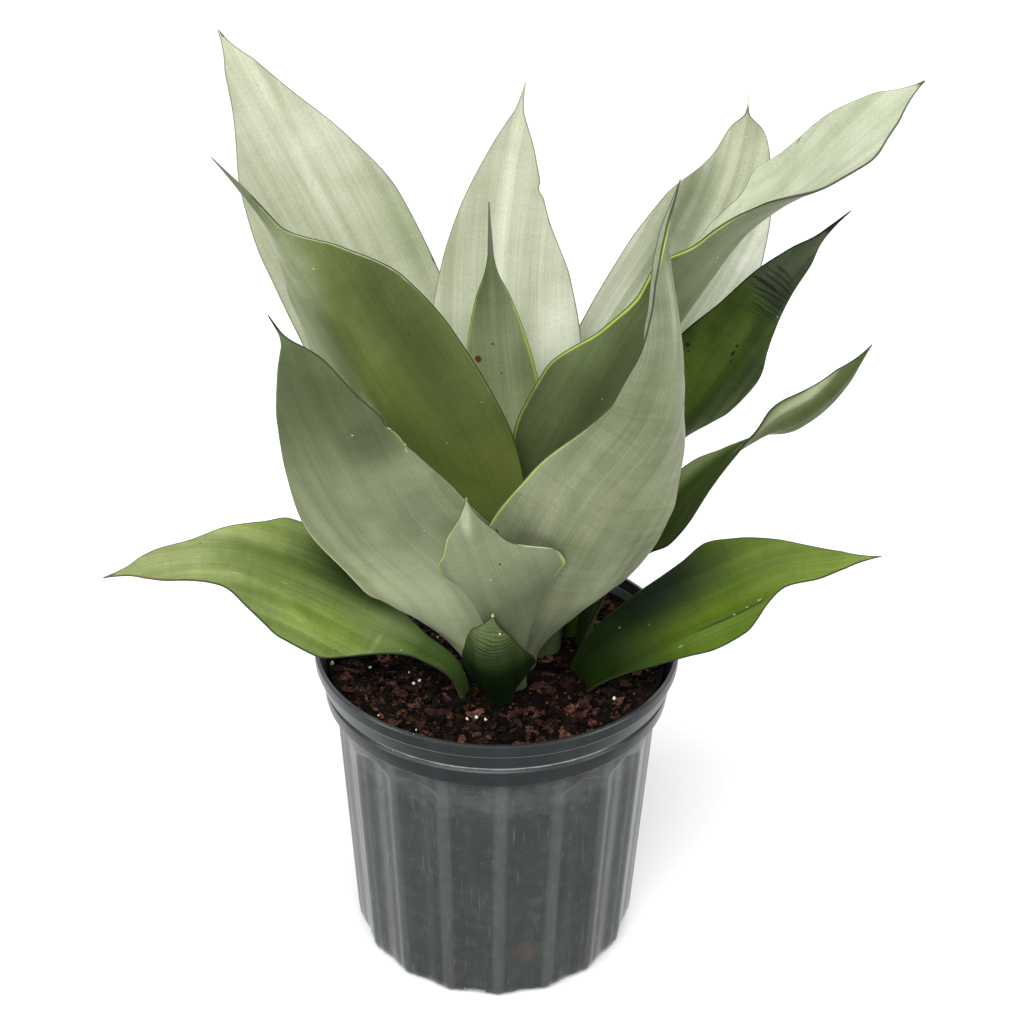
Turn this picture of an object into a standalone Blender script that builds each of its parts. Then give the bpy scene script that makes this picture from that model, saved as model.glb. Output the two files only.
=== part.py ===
# A silver-leaved snake plant in a fluted nursery pot.
# Sizes are in millimetres here and become metres as each mesh is made.
# X runs to the plant's right, Y away from its front, Z up. The origin is the middle of the pot's underside.

import math

import bpy
import numpy as np

MM = 0.001

# Pot: thin moulded plastic, 165 mm across the rim and 156 mm high
# Outside of the wall from the foot to the lip, as (height, radius)
POT_OUTSIDE = [
    (0, 64.4), (2, 66.0), (5, 66.9), (11, 67.5),
    (121, 73.5), (125, 73.8), (129, 74.2),
    (130.5, 75.4), (132, 78.2), (139.5, 79.0),
    (140.6, 77.8), (142, 77.8), (142.8, 79.9), (149.5, 81.2),
    (150.5, 82.4), (155.3, 82.5), (156, 82.1),
]
# Inside of the wall from the lip to the floor
POT_INSIDE = [(156, 80.8), (150, 79.8), (143.5, 76.0), (134, 75.0), (129, 70.4), (10, 64.0), (3.2, 63.4), (2.4, 62.4)]
FLUTES = 18
FIRST_RIDGE_DEG = 2.5
RIDGE_HALF_DEG = 3.5
FLUTE_DEPTH = 1.7
FLANK_DEPTH = 1.3
FLUTE_TOP = 125.0
FLUTE_FULL = 121.0
INSIDE_STEPS = 36

# Drain slots: short openings through the edge of the floor and the foot of the wall
SLOT_HEADINGS_DEG = [-7, 65, 137, 209, 281]
SLOT_WIDTH = 10.0
SLOT_HEIGHT = 4.0
SLOT_INNER_RADIUS = 54.0
SLOT_OUTER_RADIUS = 72.0

# Potting mix: fills the pot to about 9 mm under the lip, with a plain hole for every leaf
MIX_LEVEL = 147.0
MIX_RINGS = [75.0, 67.0, 58.0]
MIX_BUMP = 1.0
SEAT_GAP = 0.3
HOLE_CLEARANCE = 0.5
HOLE_RISE = 2.5

# Leaf flesh: thickness on the midrib and at the margin, as (t, mm) from the foot to the tip
MIDRIB_THICKNESS = [(0, 3.6), (0.15, 3.2), (0.5, 2.4), (0.85, 1.6), (1, 1.1)]
MARGIN_THICKNESS = [(0, 1.5), (0.3, 1.1), (1, 1.0)]
COLUMNS = [-1.0, -0.6, -0.25, 0.0, 0.25, 0.6, 1.0]
EVEN_STATIONS = 13
CLOSEST_STATIONS = 0.024
CHANNEL_SHARPNESS = 0.6
SWEEP_STEPS = 40
FINE_STEP = 0.002

POT_COLOUR = (0.055, 0.068, 0.072, 1)
MIX_COLOUR = (0.042, 0.017, 0.012, 1)
SILVER = (0.56, 0.63, 0.48, 1)
GREY_GREEN = (0.25, 0.33, 0.19, 1)
OLIVE = (0.12, 0.18, 0.05, 1)
LEAF_GREEN = (0.14, 0.27, 0.05, 1)
DARK_GREEN = (0.05, 0.10, 0.03, 1)

# Each leaf is drawn by four runs along t, from its buried foot (0) to its tip (1):
# midrib: points that the midrib passes through;
# half: t, then the half width left and right of the midrib, seen on the inner face with the tip up;
# faces: t, then where the inner face looks, in degrees round from the front and in degrees upward;
# channel: t, then the angle to which the blade has bent up at its left and right margin.
LEAVES = {
    "leaf_basal_front": dict(
        colour=DARK_GREEN,
        midrib=[(2, -35, 124), (2, -38, 147), (-1, -49, 171), (-2, -59, 194), (-1, -64, 209)],
        half=[(0, 7, 7), (0.2, 6, 6), (0.28, 7, 8), (0.38, 15, 14), (0.45, 20, 17), (0.52, 19, 17.5), (0.62, 15, 15),
              (0.8, 9, 10), (1, 1, 1)],
        faces=[(0, 180, 0), (0.5, 175, 15), (1, 170, 20)],
        channel=[(0, 48, 48), (0.5, 50, 50), (1, 30, 30)]),
    "leaf_small_front": dict(
        colour=GREY_GREEN,
        midrib=[(8, -25, 122), (8, -28, 147), (5, -50, 188), (-2, -64, 221), (-9, -66, 243), (-12, -62, 261)],
        half=[(0, 7, 7), (0.3, 6, 7), (0.4, 8, 9), (0.5, 12, 11), (0.6, 21, 12), (0.66, 29, 13), (0.69, 33, 14),
              (0.73, 32, 17), (0.77, 26, 21), (0.8, 20, 21), (0.84, 14, 16), (0.92, 8, 9), (1, 1, 1)],
        faces=[(0, 185, 0), (0.5, 190, 10), (1, 180, 10)],
        channel=[(0, 45, 45), (0.5, 24, 62), (1, 25, 25)]),
    "leaf_front_left": dict(
        colour=GREY_GREEN,
        midrib=[(-8, -15, 124), (-8, -18, 147), (-20, -36, 200), (-47, -50, 240), (-68, -57, 290),
                (-81, -62, 329), (-85, -62, 336)],
        half=[(0, 6, 7), (0.1, 6, 6), (0.2, 13, 17), (0.3, 25, 31), (0.4, 35, 37), (0.55, 36, 36), (0.7, 28, 28),
              (0.8, 20, 19), (0.9, 11, 9), (0.97, 1, 1), (1, 0.8, 0.8)],
        faces=[(0, 150, 0), (0.5, 170, 15), (1, 170, 10)],
        channel=[(0, 45, 45), (0.12, 45, 20), (0.3, 42, 5), (0.5, 30, 16), (1, 12, 12)]),
    "leaf_front_right": dict(
        colour=GREY_GREEN,
        midrib=[(12, -11, 124), (12, -13, 147), (24, -38, 199), (42, -55, 250), (67, -60, 298),
                (69, -56, 316), (67, -50, 332), (63, -38, 360), (67, -30, 380)],
        half=[(0, 8, 6), (0.1, 8, 6), (0.2, 26, 13), (0.3, 39, 27), (0.4, 41, 39), (0.5, 36, 34), (0.6, 34, 28),
              (0.7, 34, 25), (0.76, 29, 23), (0.85, 13.5, 15), (0.93, 4.5, 4), (1, 1, 1)],
        faces=[(0, -160, 0), (0.5, -172, 12), (0.58, -162, 15), (0.7, -132, 15), (0.82, -98, 15), (1, -80, 15)],
        channel=[(0, 48, 40), (0.35, 36, 22), (0.5, 34, 32), (0.72, 62, 62), (1, 55, 55)]),
    "leaf_low_left": dict(
        colour=LEAF_GREEN,
        midrib=[(-14, -30, 124), (-15, -30, 147), (-19, -29, 157), (-33, -26, 168), (-55, -18, 176),
                (-90, -20, 197), (-117, -26, 210), (-142, -28, 209), (-156, -32, 207), (-166, -34, 205)],
        half=[(0, 5, 5), (0.12, 5, 5), (0.25, 7, 5.5), (0.36, 17, 11), (0.48, 28, 15), (0.53, 28.5, 21),
              (0.58, 28, 26.5), (0.63, 24.5, 26), (0.68, 20, 20.5), (0.74, 14, 15.5), (0.82, 11, 9), (0.88, 9, 7), (0.95, 3, 3), (1, 1, 1)],
        faces=[(0, 95, 10), (0.4, 0, 45), (1, 10, 60)],
        channel=[(0, 50, 50), (0.4, 25, 6), (1, 20, 10)]),
    "leaf_low_right": dict(
        colour=LEAF_GREEN,
        midrib=[(39, -14, 124), (40, -17, 146), (48, -20, 160), (65, -23, 176), (96, -23, 194),
                (121, -21, 206), (147, -20, 210), (164, -20, 213)],
        half=[(0, 8, 8), (0.15, 10, 11), (0.3, 14, 15), (0.45, 17.5, 20.5), (0.52, 20, 22.5), (0.6, 23.5, 21),
              (0.68, 19.5, 13.5), (0.75, 14, 9),
              (0.82, 9, 8), (0.9, 5, 4), (1, 0.8, 0.8)],
        faces=[(0, -80, 20), (0.4, -5, 45), (1, -10, 60)],
        channel=[(0, 45, 45), (0.4, 20, 20), (1, 15, 15)]),
    "leaf_mid_left": dict(
        colour=OLIVE,
        midrib=[(-8, -2, 124), (-8, -4, 147), (-19, -16, 214), (-37, -24, 265), (-57, -28, 305),
                (-78, -32, 345), (-94, -34, 371), (-107, -34, 387)],
        half=[(0, 9, 9), (0.1, 14, 12), (0.25, 28, 22), (0.5, 42, 38), (0.65, 41, 30), (0.75, 35, 24),
              (0.82, 20, 14), (0.88, 4, 4), (1, 0.8, 0.8)],
        faces=[(0, 140, 0), (0.5, 165, 15), (1, 150, 30)],
        channel=[(0, 45, 40), (0.5, 30, 30), (1, 40, 40)]),
    "leaf_trough_right": dict(
        colour=GREY_GREEN,
        midrib=[(24, 0, 124), (24, 0, 147), (30, -4, 215), (50, -4, 272), (82, -2, 327), (98, 0, 350),
                (118, 2, 367), (145, 6, 394), (162, 6, 409)],
        half=[(0, 8, 9), (0.1, 12, 11), (0.2, 17, 15), (0.3, 22, 26), (0.42, 27, 41), (0.48, 28, 41),
              (0.55, 29, 29), (0.6, 30, 25), (0.65, 28, 29), (0.7, 24, 21), (0.75, 19, 21), (0.79, 30, 26),
              (0.88, 22, 25), (0.94, 12, 13), (1, 1, 1)],
        faces=[(0, -150, 0), (0.5, -140, 35), (1, -40, 50)],
        channel=[(0, 48, 48), (0.5, 60, 54), (0.65, 60, 60), (0.74, 55, 44), (0.8, 28, 30), (0.84, 18, 18),
                 (1, 12, 12)]),
    "leaf_young_centre": dict(
        colour=GREY_GREEN,
        midrib=[(4, 1, 124), (4, 0, 147), (5, -1, 237), (0, 1, 284), (-4, 3, 334), (-5, 4, 359)],
        half=[(0, 8, 8), (0.1, 10, 10), (0.35, 22, 22), (0.6, 19, 19), (0.75, 13, 13), (0.83, 7.5, 7.5),
              (0.88, 2.5, 2.5), (0.91, 1.2, 1.2), (1, 0.8, 0.8)],
        faces=[(0, 180, 0), (1, 180, 10)],
        channel=[(0, 35, 35), (0.5, 35, 35), (1, 25, 25)]),
    "leaf_twisted_right": dict(
        colour=LEAF_GREEN,
        midrib=[(39, 6, 124), (40, 5, 147), (49, 1, 184), (70, -2, 218), (88, 0, 242), (110, 4, 256.5),
                (135, 8, 270), (156, 12, 297)],
        half=[(0, 8, 8), (0.25, 11, 7), (0.35, 13, 6), (0.41, 14, 11), (0.47, 13, 20), (0.53, 11, 23), (0.6, 8, 17),
              (0.65, 5, 10), (0.7, 5, 8), (0.76, 10, 11.5), (0.83, 9.5, 11), (0.9, 6.5, 8), (1, 1, 1)],
        faces=[(0, -100, 10), (0.45, -75, 25), (0.62, -80, 30), (0.71, -112, 25), (0.8, -150, 5), (1, -150, 5)],
        channel=[(0, 48, 48), (0.5, 35, 12), (0.7, 30, 20), (1, 30, 30)]),
    "leaf_dark_right": dict(
        colour=DARK_GREEN,
        midrib=[(38, 20, 124), (38, 20, 147), (49, 16, 196), (67, 16, 241), (88, 19, 276), (111, 26, 309),
                (131, 31, 335), (145, 33, 348)],
        half=[(0, 9, 9), (0.3, 11, 12), (0.5, 10, 19), (0.55, 17, 21), (0.6, 27, 22.5), (0.67, 31, 21.5),
              (0.76, 18, 15.5), (0.83, 11.5, 12), (0.89, 8.5, 6.5), (0.94, 2.5, 1.5), (1, 0.8, 0.8)],
        faces=[(0, -120, 0), (0.5, -165, 10), (1, -170, 10)],
        channel=[(0, 45, 45), (0.5, 30, 30), (1, 20, 20)]),
    "leaf_back_centre": dict(
        colour=SILVER,
        midrib=[(4, 14, 124), (4, 16, 147), (1, 30, 232), (-1, 39, 287), (-1, 51, 320), (2, 61, 350),
                (7, 70, 380), (9, 73, 389)],
        half=[(0, 9, 9), (0.1, 13, 14), (0.3, 28, 32), (0.55, 32, 38), (0.7, 26, 32), (0.8, 19, 20), (0.9, 9, 10),
              (0.965, 2, 2), (1, 0.8, 0.8)],
        faces=[(0, -5, 0), (0.5, -5, 15), (1, -5, 15)],
        channel=[(0, 35, 35), (0.5, 18, 18), (1, 12, 12)]),
    "leaf_back_right": dict(
        colour=SILVER,
        midrib=[(18, 25, 124), (19, 27, 147), (38, 38, 234), (64, 52, 283), (87, 64, 319), (101, 75, 351),
                (106, 85, 376), (106, 85, 383)],
        half=[(0, 9, 9), (0.1, 10, 12), (0.3, 18, 20), (0.42, 26, 27), (0.6, 28, 39), (0.7, 29, 34),
              (0.8, 25, 26), (0.9, 11, 15), (0.95, 6, 8), (0.972, 1, 1), (1, 0.8, 0.8)],
        faces=[(0, -25, 0), (0.5, -20, 20), (1, -10, 10)],
        channel=[(0, 40, 40), (0.5, 25, 25), (1, 12, 12)]),
    "leaf_back_left": dict(
        colour=SILVER,
        midrib=[(-13, 18, 124), (-13, 20, 147), (-26, 33, 230), (-50, 41, 275), (-72, 50, 322),
                (-91, 57, 357), (-107, 63, 387), (-119, 66, 411)],
        half=[(0, 9, 9), (0.1, 13, 11), (0.2, 22, 16), (0.3, 28, 24), (0.55, 33, 37), (0.7, 32, 36),
              (0.8, 25, 28), (0.9, 11, 14), (1, 1, 1)],
        faces=[(0, 25, 0), (0.5, 15, 20), (1, 15, 15)],
        channel=[(0, 45, 35), (0.5, 25, 14), (1, 12, 12)]),
}


def hermite(knots, values, slopes, t):
    """Cubic through values at the knots with the given slopes."""
    k = np.clip(np.searchsorted(knots, t, side="right") - 1, 0, len(knots) - 2)
    width = (knots[k + 1] - knots[k])[:, None]
    u = ((t - knots[k]) / (knots[k + 1] - knots[k]))[:, None]
    rise = 3 * u**2 - 2 * u**3
    return ((1 - rise) * values[k] + (u**3 - 2 * u**2 + u) * width * slopes[k]
            + rise * values[k + 1] + (u**3 - u**2) * width * slopes[k + 1])


def curve(points, t):
    """Smooth line through the points, with t shared out by distance."""
    points = np.array(points, float)
    length = np.linalg.norm(np.diff(points, axis=0), axis=1)
    knots = np.concatenate([[0], np.cumsum(length)]) / length.sum()
    step = np.diff(knots)[:, None]
    chord = np.diff(points, axis=0) / step
    slopes = np.empty_like(points)
    slopes[1:-1] = (chord[:-1] * step[1:] + chord[1:] * step[:-1]) / (step[1:] + step[:-1])
    slopes[0] = 1.5 * chord[0] - 0.5 * slopes[1]
    slopes[-1] = 1.5 * chord[-1] - 0.5 * slopes[-2]
    return hermite(knots, points, slopes, t)


def run(rows, t):
    """Values of (t, value, ...) rows at t, smooth and never beyond the given values."""
    rows = np.array(rows, float)
    knots = rows[:, 0]
    values = rows[:, 1:]
    step = np.diff(knots)[:, None]
    chord = np.diff(values, axis=0) / step
    slopes = np.zeros_like(values)
    slopes[0] = chord[0]
    slopes[-1] = chord[-1]
    for i in range(1, len(knots) - 1):
        before = 2 * step[i, 0] + step[i - 1, 0]
        after = step[i, 0] + 2 * step[i - 1, 0]
        for k in range(values.shape[1]):
            if chord[i - 1, k] * chord[i, k] > 0:
                slopes[i, k] = (before + after) / (before / chord[i - 1, k] + after / chord[i, k])
    return hermite(knots, values, slopes, np.clip(t, knots[0], knots[-1]))


def unit(vectors):
    return vectors / np.linalg.norm(vectors, axis=-1, keepdims=True)


def heading(degrees_round, degrees_up):
    """Direction that looks so far round from the front (-Y) towards +X, and so far upward."""
    a = math.radians(degrees_round)
    e = math.radians(degrees_up)
    return (math.sin(a) * math.cos(e), -math.cos(a) * math.cos(e), math.sin(e))


def sum_along(values, q):
    """Area under each row of values over q."""
    return np.sum((values[:, 1:] + values[:, :-1]) / 2 * np.diff(q), axis=1, keepdims=True)


def stations_of(leaf):
    """Where along t the leaf has a cross-section: its width and direction rows, then even steps between them."""
    kept = sorted({row[0] for row in leaf["half"]} | {row[0] for row in leaf["faces"]})
    for t in np.linspace(0, 1, EVEN_STATIONS):
        if min(abs(t - k) for k in kept) > CLOSEST_STATIONS:
            kept.append(float(t))
    return np.array(sorted(kept))


def blade_points(leaf, t, grow):
    """Middle surface of a blade, one row per station and one column per COLUMNS, and its directions there."""
    midrib = curve(leaf["midrib"], t)
    before = curve(leaf["midrib"], np.maximum(t - FINE_STEP, 0))
    after = curve(leaf["midrib"], np.minimum(t + FINE_STEP, 1))
    along = unit(after - before)
    looks = run([(row[0], *heading(row[1], row[2])) for row in leaf["faces"]], t)
    inner = unit(looks - np.sum(looks * along, axis=1, keepdims=True) * along)
    across = np.cross(along, inner)
    half = run(leaf["half"], t) + grow
    bend = np.radians(run(leaf["channel"], t))
    sweep = np.linspace(0, 1, SWEEP_STEPS + 1)
    points = np.zeros((len(t), len(COLUMNS), 3))
    crosswise = np.zeros_like(points)
    for j, column in enumerate(COLUMNS):
        side = 1 if column >= 0 else 0
        sign = 1 if column >= 0 else -1
        q = abs(column) * sweep
        angle = bend[:, side:side + 1] * q**CHANNEL_SHARPNESS
        out = sum_along(np.cos(angle), q) * half[:, side:side + 1]
        up = sum_along(np.sin(angle), q) * half[:, side:side + 1]
        edge = angle[:, -1:]
        points[:, j] = midrib + sign * across * out + inner * up
        crosswise[:, j] = across * np.cos(edge) + sign * inner * np.sin(edge)
    return points, crosswise, along


def leaf_sheet(leaf, t, grow=0.0):
    """Middle surface of a blade with its normals, which stay square to it where it twists."""
    points, crosswise, along = blade_points(leaf, t, grow)
    before = blade_points(leaf, np.maximum(t - FINE_STEP, 0), grow)[0]
    after = blade_points(leaf, np.minimum(t + FINE_STEP, 1), grow)[0]
    return points, unit(np.cross(crosswise, after - before)), along


def leaf_body(leaf, t, grow=0.0):
    """Vertices and triangles of a blade, both faces split alike and closed round the margin, foot and tip."""
    points, normals, along = leaf_sheet(leaf, t, grow)
    columns = np.abs(np.array(COLUMNS))
    on_midrib = run(MIDRIB_THICKNESS, t)
    at_margin = run(MARGIN_THICKNESS, t)
    thickness = on_midrib + (at_margin - on_midrib) * columns[None, :]**1.5 + 2 * grow
    offset = normals * thickness[:, :, None] / 2
    inside = points + offset
    outside = points - offset
    inside[0] -= along[0] * grow
    outside[0] -= along[0] * grow
    rows, width = thickness.shape
    vertices = np.concatenate([inside.reshape(-1, 3), outside.reshape(-1, 3)])
    back = rows * width

    def at(i, j):
        return i * width + j

    triangles = []
    for i in range(rows - 1):
        for j in range(width - 1):
            a, b, c, d = at(i, j), at(i, j + 1), at(i + 1, j + 1), at(i + 1, j)
            split = [(a, b, c), (a, c, d)] if j < width // 2 else [(a, b, d), (b, c, d)]
            triangles += split
            triangles += [(back + p, back + r, back + q) for p, q, r in split]
        for j, flip in ((0, False), (width - 1, True)):
            a, b = at(i, j), at(i + 1, j)
            strip = [(a, b, back + b), (a, back + b, back + a)]
            triangles += [(p, r, q) for p, q, r in strip] if flip else strip
    for i, flip in ((0, True), (rows - 1, False)):
        for j in range(width - 1):
            a, b = at(i, j), at(i, j + 1)
            strip = [(a, b, back + b), (a, back + b, back + a)]
            triangles += [(p, r, q) for p, q, r in strip] if flip else strip
    return vertices, triangles


def ring(radius, height, steps, fluted=False):
    """One turn of points; a fluted turn has four to a flute: crest, flank, panel, flank."""
    if not fluted:
        angles = np.radians(FIRST_RIDGE_DEG + np.arange(steps) * 360 / steps)
        radii = np.full(steps, radius)
    else:
        pitch = 360 / FLUTES
        offsets = np.array([0, RIDGE_HALF_DEG, pitch / 2, pitch - RIDGE_HALF_DEG])
        depths = np.array([0, FLANK_DEPTH, FLUTE_DEPTH, FLANK_DEPTH])
        fade = np.clip((FLUTE_TOP - height) / (FLUTE_TOP - FLUTE_FULL), 0, 1)
        angles = np.radians(FIRST_RIDGE_DEG + np.repeat(np.arange(FLUTES) * pitch, 4) + np.tile(offsets, FLUTES))
        radii = radius - np.tile(depths, FLUTES) * fade
    return np.stack([radii * np.sin(angles), -radii * np.cos(angles), np.full(len(angles), height)], axis=1)


def loft(rings):
    """Closed skin over a stack of rings; a ring may hold twice as many points as the next one."""
    starts = np.concatenate([[0], np.cumsum([len(r) for r in rings])])
    faces = [tuple(range(len(rings[0]) - 1, -1, -1))]
    for k in range(len(rings) - 1):
        below = len(rings[k])
        above = len(rings[k + 1])
        for i in range(above):
            a = starts[k + 1] + i
            b = starts[k + 1] + (i + 1) % above
            if below == above:
                faces.append((starts[k] + i, starts[k] + (i + 1) % below, b, a))
            else:
                first, middle, last = (starts[k] + (2 * i + m) % below for m in range(3))
                faces += [(first, middle, a), (middle, b, a), (middle, last, b)]
    faces.append(tuple(starts[-2] + i for i in range(len(rings[-1]))))
    return np.concatenate(rings), [tuple(int(v) for v in face) for face in faces]


def moved_in(profile, gap):
    """The same line of (height, radius), moved off the wall by the gap and towards its middle."""
    line = np.array(profile, float)
    step = unit(np.diff(line, axis=0))
    away = np.stack([step[:, 1], -step[:, 0]], axis=1) * -1
    corner = np.concatenate([away[:1], unit(away[:-1] + away[1:]), away[-1:]])
    reach = gap / np.sum(corner * np.concatenate([away[:1], away]), axis=1, keepdims=True)
    return line + corner * reach


def material(name, colour, roughness):
    made = bpy.data.materials.new(name)
    made.use_nodes = True
    shader = made.node_tree.nodes["Principled BSDF"]
    shader.inputs["Base Color"].default_value = colour
    shader.inputs["Roughness"].default_value = roughness
    shader.inputs["Metallic"].default_value = 0.0
    return made


def add_object(name, vertices, faces, finish=None, smooth_below=35):
    mesh = bpy.data.meshes.new(name)
    mesh.from_pydata((np.asarray(vertices) * MM).tolist(), [], faces)
    mesh.validate()
    mesh.polygons.foreach_set("use_smooth", [True] * len(mesh.polygons))
    mesh.set_sharp_from_angle(angle=math.radians(smooth_below))
    made = bpy.data.objects.new(name, mesh)
    bpy.context.scene.collection.objects.link(made)
    if finish:
        mesh.materials.append(finish)
    else:
        made.hide_render = True
        made.display_type = "WIRE"
    return made


def cut(target, cutter):
    step = target.modifiers.new(cutter.name, "BOOLEAN")
    step.operation = "DIFFERENCE"
    step.solver = "EXACT"
    step.object = cutter


def drain_slot(degrees_round):
    """Box across the foot of the wall, long side towards the middle of the pot."""
    a = math.radians(degrees_round)
    outward = np.array([math.sin(a), -math.cos(a), 0])
    sideways = np.array([math.cos(a), math.sin(a), 0])
    corners = []
    for height in (-2.0, SLOT_HEIGHT):
        for reach, side in ((SLOT_INNER_RADIUS, -1), (SLOT_OUTER_RADIUS, -1),
                            (SLOT_OUTER_RADIUS, 1), (SLOT_INNER_RADIUS, 1)):
            corners.append(outward * reach + sideways * side * SLOT_WIDTH / 2 + np.array([0, 0, height]))
    faces = [(3, 2, 1, 0), (4, 5, 6, 7), (0, 1, 5, 4), (1, 2, 6, 5), (2, 3, 7, 6), (3, 0, 4, 7)]
    return corners, faces


def make_pot():
    steps = FLUTES * 4
    rings = [ring(radius, height, steps, height <= FLUTE_TOP) for height, radius in POT_OUTSIDE]
    rings += [ring(radius, height, INSIDE_STEPS) for height, radius in POT_INSIDE]
    vertices, faces = loft(rings)
    pot = add_object("pot", vertices, faces, material("pot_plastic", POT_COLOUR, 0.45))
    for number, degrees_round in enumerate(SLOT_HEADINGS_DEG):
        corners, sides = drain_slot(degrees_round)
        cut(pot, add_object(f"drain_slot_{number + 1}", corners, sides))


def mix_surface(radius):
    """A ring of the surface: low swells that die out towards the plain crown."""
    turn = ring(radius, MIX_LEVEL, INSIDE_STEPS)
    a = np.arange(INSIDE_STEPS) * 2 * math.pi / INSIDE_STEPS
    turn[:, 2] += MIX_BUMP * (0.6 * np.sin(3 * a + radius / 9) + 0.4 * np.sin(5 * a - radius / 5))
    return turn


def make_mix(holes):
    floor_middle = (POT_INSIDE[-1][0], 0)
    seat = moved_in(POT_INSIDE[1:] + [floor_middle], SEAT_GAP)[:-1]
    top_height, top_radius = seat[0]
    shoulder_height, shoulder_radius = seat[1]
    share = (MIX_LEVEL - shoulder_height) / (top_height - shoulder_height)
    brim = shoulder_radius + (top_radius - shoulder_radius) * share
    rings = [ring(radius, height, INSIDE_STEPS) for height, radius in seat[:0:-1]]
    rings.append(ring(brim, MIX_LEVEL, INSIDE_STEPS))
    rings += [mix_surface(radius) for radius in MIX_RINGS]
    rings.append(ring(MIX_RINGS[-1] - 4, MIX_LEVEL + 0.8, INSIDE_STEPS))
    vertices, faces = loft(rings)
    mix = add_object("potting_mix", vertices, faces, material("potting_mix", MIX_COLOUR, 0.95), 60)
    for hole in holes:
        cut(mix, hole)


def make_leaves():
    holes = []
    for name, leaf in LEAVES.items():
        t = stations_of(leaf)
        vertices, triangles = leaf_body(leaf, t)
        add_object(name, vertices, triangles, material(name, leaf["colour"], 0.5))
        lowest = leaf_sheet(leaf, t)[0][:, :, 2].min(axis=1)
        clear = int(np.argmax(lowest > MIX_LEVEL + HOLE_RISE + MIX_BUMP))
        vertices, triangles = leaf_body(leaf, t[:clear + 1], HOLE_CLEARANCE)
        holes.append(add_object(name + "_hole", vertices, triangles))
    return holes


for old in list(bpy.data.objects):
    bpy.data.objects.remove(old, do_unlink=True)
make_pot()
make_mix(make_leaves())
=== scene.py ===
# %% [markdown]
# # A silver snake plant in a nursery pot
# This lesson dresses a measured model. The solids that hold the sizes are already packed, and they come in
# as a fixed frame. Each piece below stands for one of those solids, keeps its place and form, and adds what
# the eye looks for: thick waxy leaves with dark margins, loose bark, white perlite and moulded plastic.

# %% Load the measured model
import math
import random

import bmesh
import bpy
import numpy as np
from mathutils import Matrix, Vector, noise
from mathutils.bvhtree import BVHTree


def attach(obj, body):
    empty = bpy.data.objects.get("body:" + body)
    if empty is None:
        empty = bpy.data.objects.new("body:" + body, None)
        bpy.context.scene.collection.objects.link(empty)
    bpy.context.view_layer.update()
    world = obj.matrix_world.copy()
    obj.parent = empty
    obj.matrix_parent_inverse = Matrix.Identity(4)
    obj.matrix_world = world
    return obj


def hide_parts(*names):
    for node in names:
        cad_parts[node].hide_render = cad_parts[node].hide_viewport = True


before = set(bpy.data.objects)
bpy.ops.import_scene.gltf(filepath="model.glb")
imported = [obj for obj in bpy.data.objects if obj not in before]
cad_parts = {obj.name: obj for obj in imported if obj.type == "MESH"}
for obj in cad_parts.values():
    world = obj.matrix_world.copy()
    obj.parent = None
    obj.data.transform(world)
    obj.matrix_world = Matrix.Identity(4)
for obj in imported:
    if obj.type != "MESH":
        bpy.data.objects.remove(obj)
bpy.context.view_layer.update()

BODY = "root"
MM = 0.001
print("pieces in the frame:", sorted(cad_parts))

# %% [markdown]
# ## The camera
# The photo looks down on the pot by about 29 degrees, from roughly 85 cm away, with a lens a little longer
# than normal. The values were found by laying the circles of the rim, the bead and the foot over the photo.
# The camera also leans by less than a degree, as a hand-held one does.

# %% Camera
CAMERA_PLACE = (0.006, -0.6298, 0.5658)
PITCH_DEG = 28.7
ROLL_DEG = 0.85
SENSOR_MM = 36.0
# focal length over the width of the picture, both in pixels
FOCAL_SHARE = 1650 / 1024


def put(name, data):
    """A new object that shows the data, linked into the scene."""
    made = bpy.data.objects.new(name, data)
    bpy.context.scene.collection.objects.link(made)
    return made


camera = put("camera", bpy.data.cameras.new("camera"))
camera.data.sensor_width = SENSOR_MM
camera.data.lens = SENSOR_MM * FOCAL_SHARE
pitch = Matrix.Rotation(math.radians(90 - PITCH_DEG), 4, "X")
roll = Matrix.Rotation(math.radians(ROLL_DEG), 4, "Z")
camera.matrix_world = Matrix.Translation(CAMERA_PLACE) @ (pitch @ roll)
bpy.context.scene.camera = camera
print("lens", round(camera.data.lens, 1), "mm")

# %% [markdown]
# ## Colours and nodes
# Colours are picked as sRGB hex values, the way a paint program shows them. The renderer works with linear
# light, so one function turns a hex value into it. A second one fills the inputs of a shader node, each with
# a number, a colour or a link from another node, and a third one adds such a node.

# %% Colour and node helpers
def linear(hex_colour):
    """sRGB hex text as linear red, green, blue and a full alpha."""
    parts = [int(hex_colour[i:i + 2], 16) / 255 for i in (1, 3, 5)]
    return tuple(c / 12.92 if c <= 0.04045 else ((c + 0.055) / 1.055) ** 2.4 for c in parts) + (1.0,)


def fill(tree, node, inputs):
    """Inputs are found by name or number, and each takes a value, another node or a socket."""
    for key, value in inputs.items():
        if isinstance(key, str):
            socket = next(s for s in node.inputs if s.enabled and s.name == key)
        else:
            socket = node.inputs[key]
        if isinstance(value, bpy.types.Node):
            value = next(s for s in value.outputs if s.enabled)
        if isinstance(value, bpy.types.NodeSocket):
            tree.links.new(value, socket)
        else:
            socket.default_value = value


def add(tree, kind, inputs=None, **settings):
    """A new shader node, such as "Math", with its settings and its inputs."""
    node = tree.nodes.new("ShaderNode" + kind)
    for key, value in settings.items():
        setattr(node, key, value)
    fill(tree, node, inputs or {})
    return node


def new_material(name):
    """A plain material, its node tree, and its Principled BSDF joined to the output."""
    made = bpy.data.materials.new(name)
    made.use_nodes = True
    made.node_tree.nodes.clear()
    shader = add(made.node_tree, "BsdfPrincipled")
    add(made.node_tree, "OutputMaterial", {"Surface": shader})
    return made, made.node_tree, shader


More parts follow.
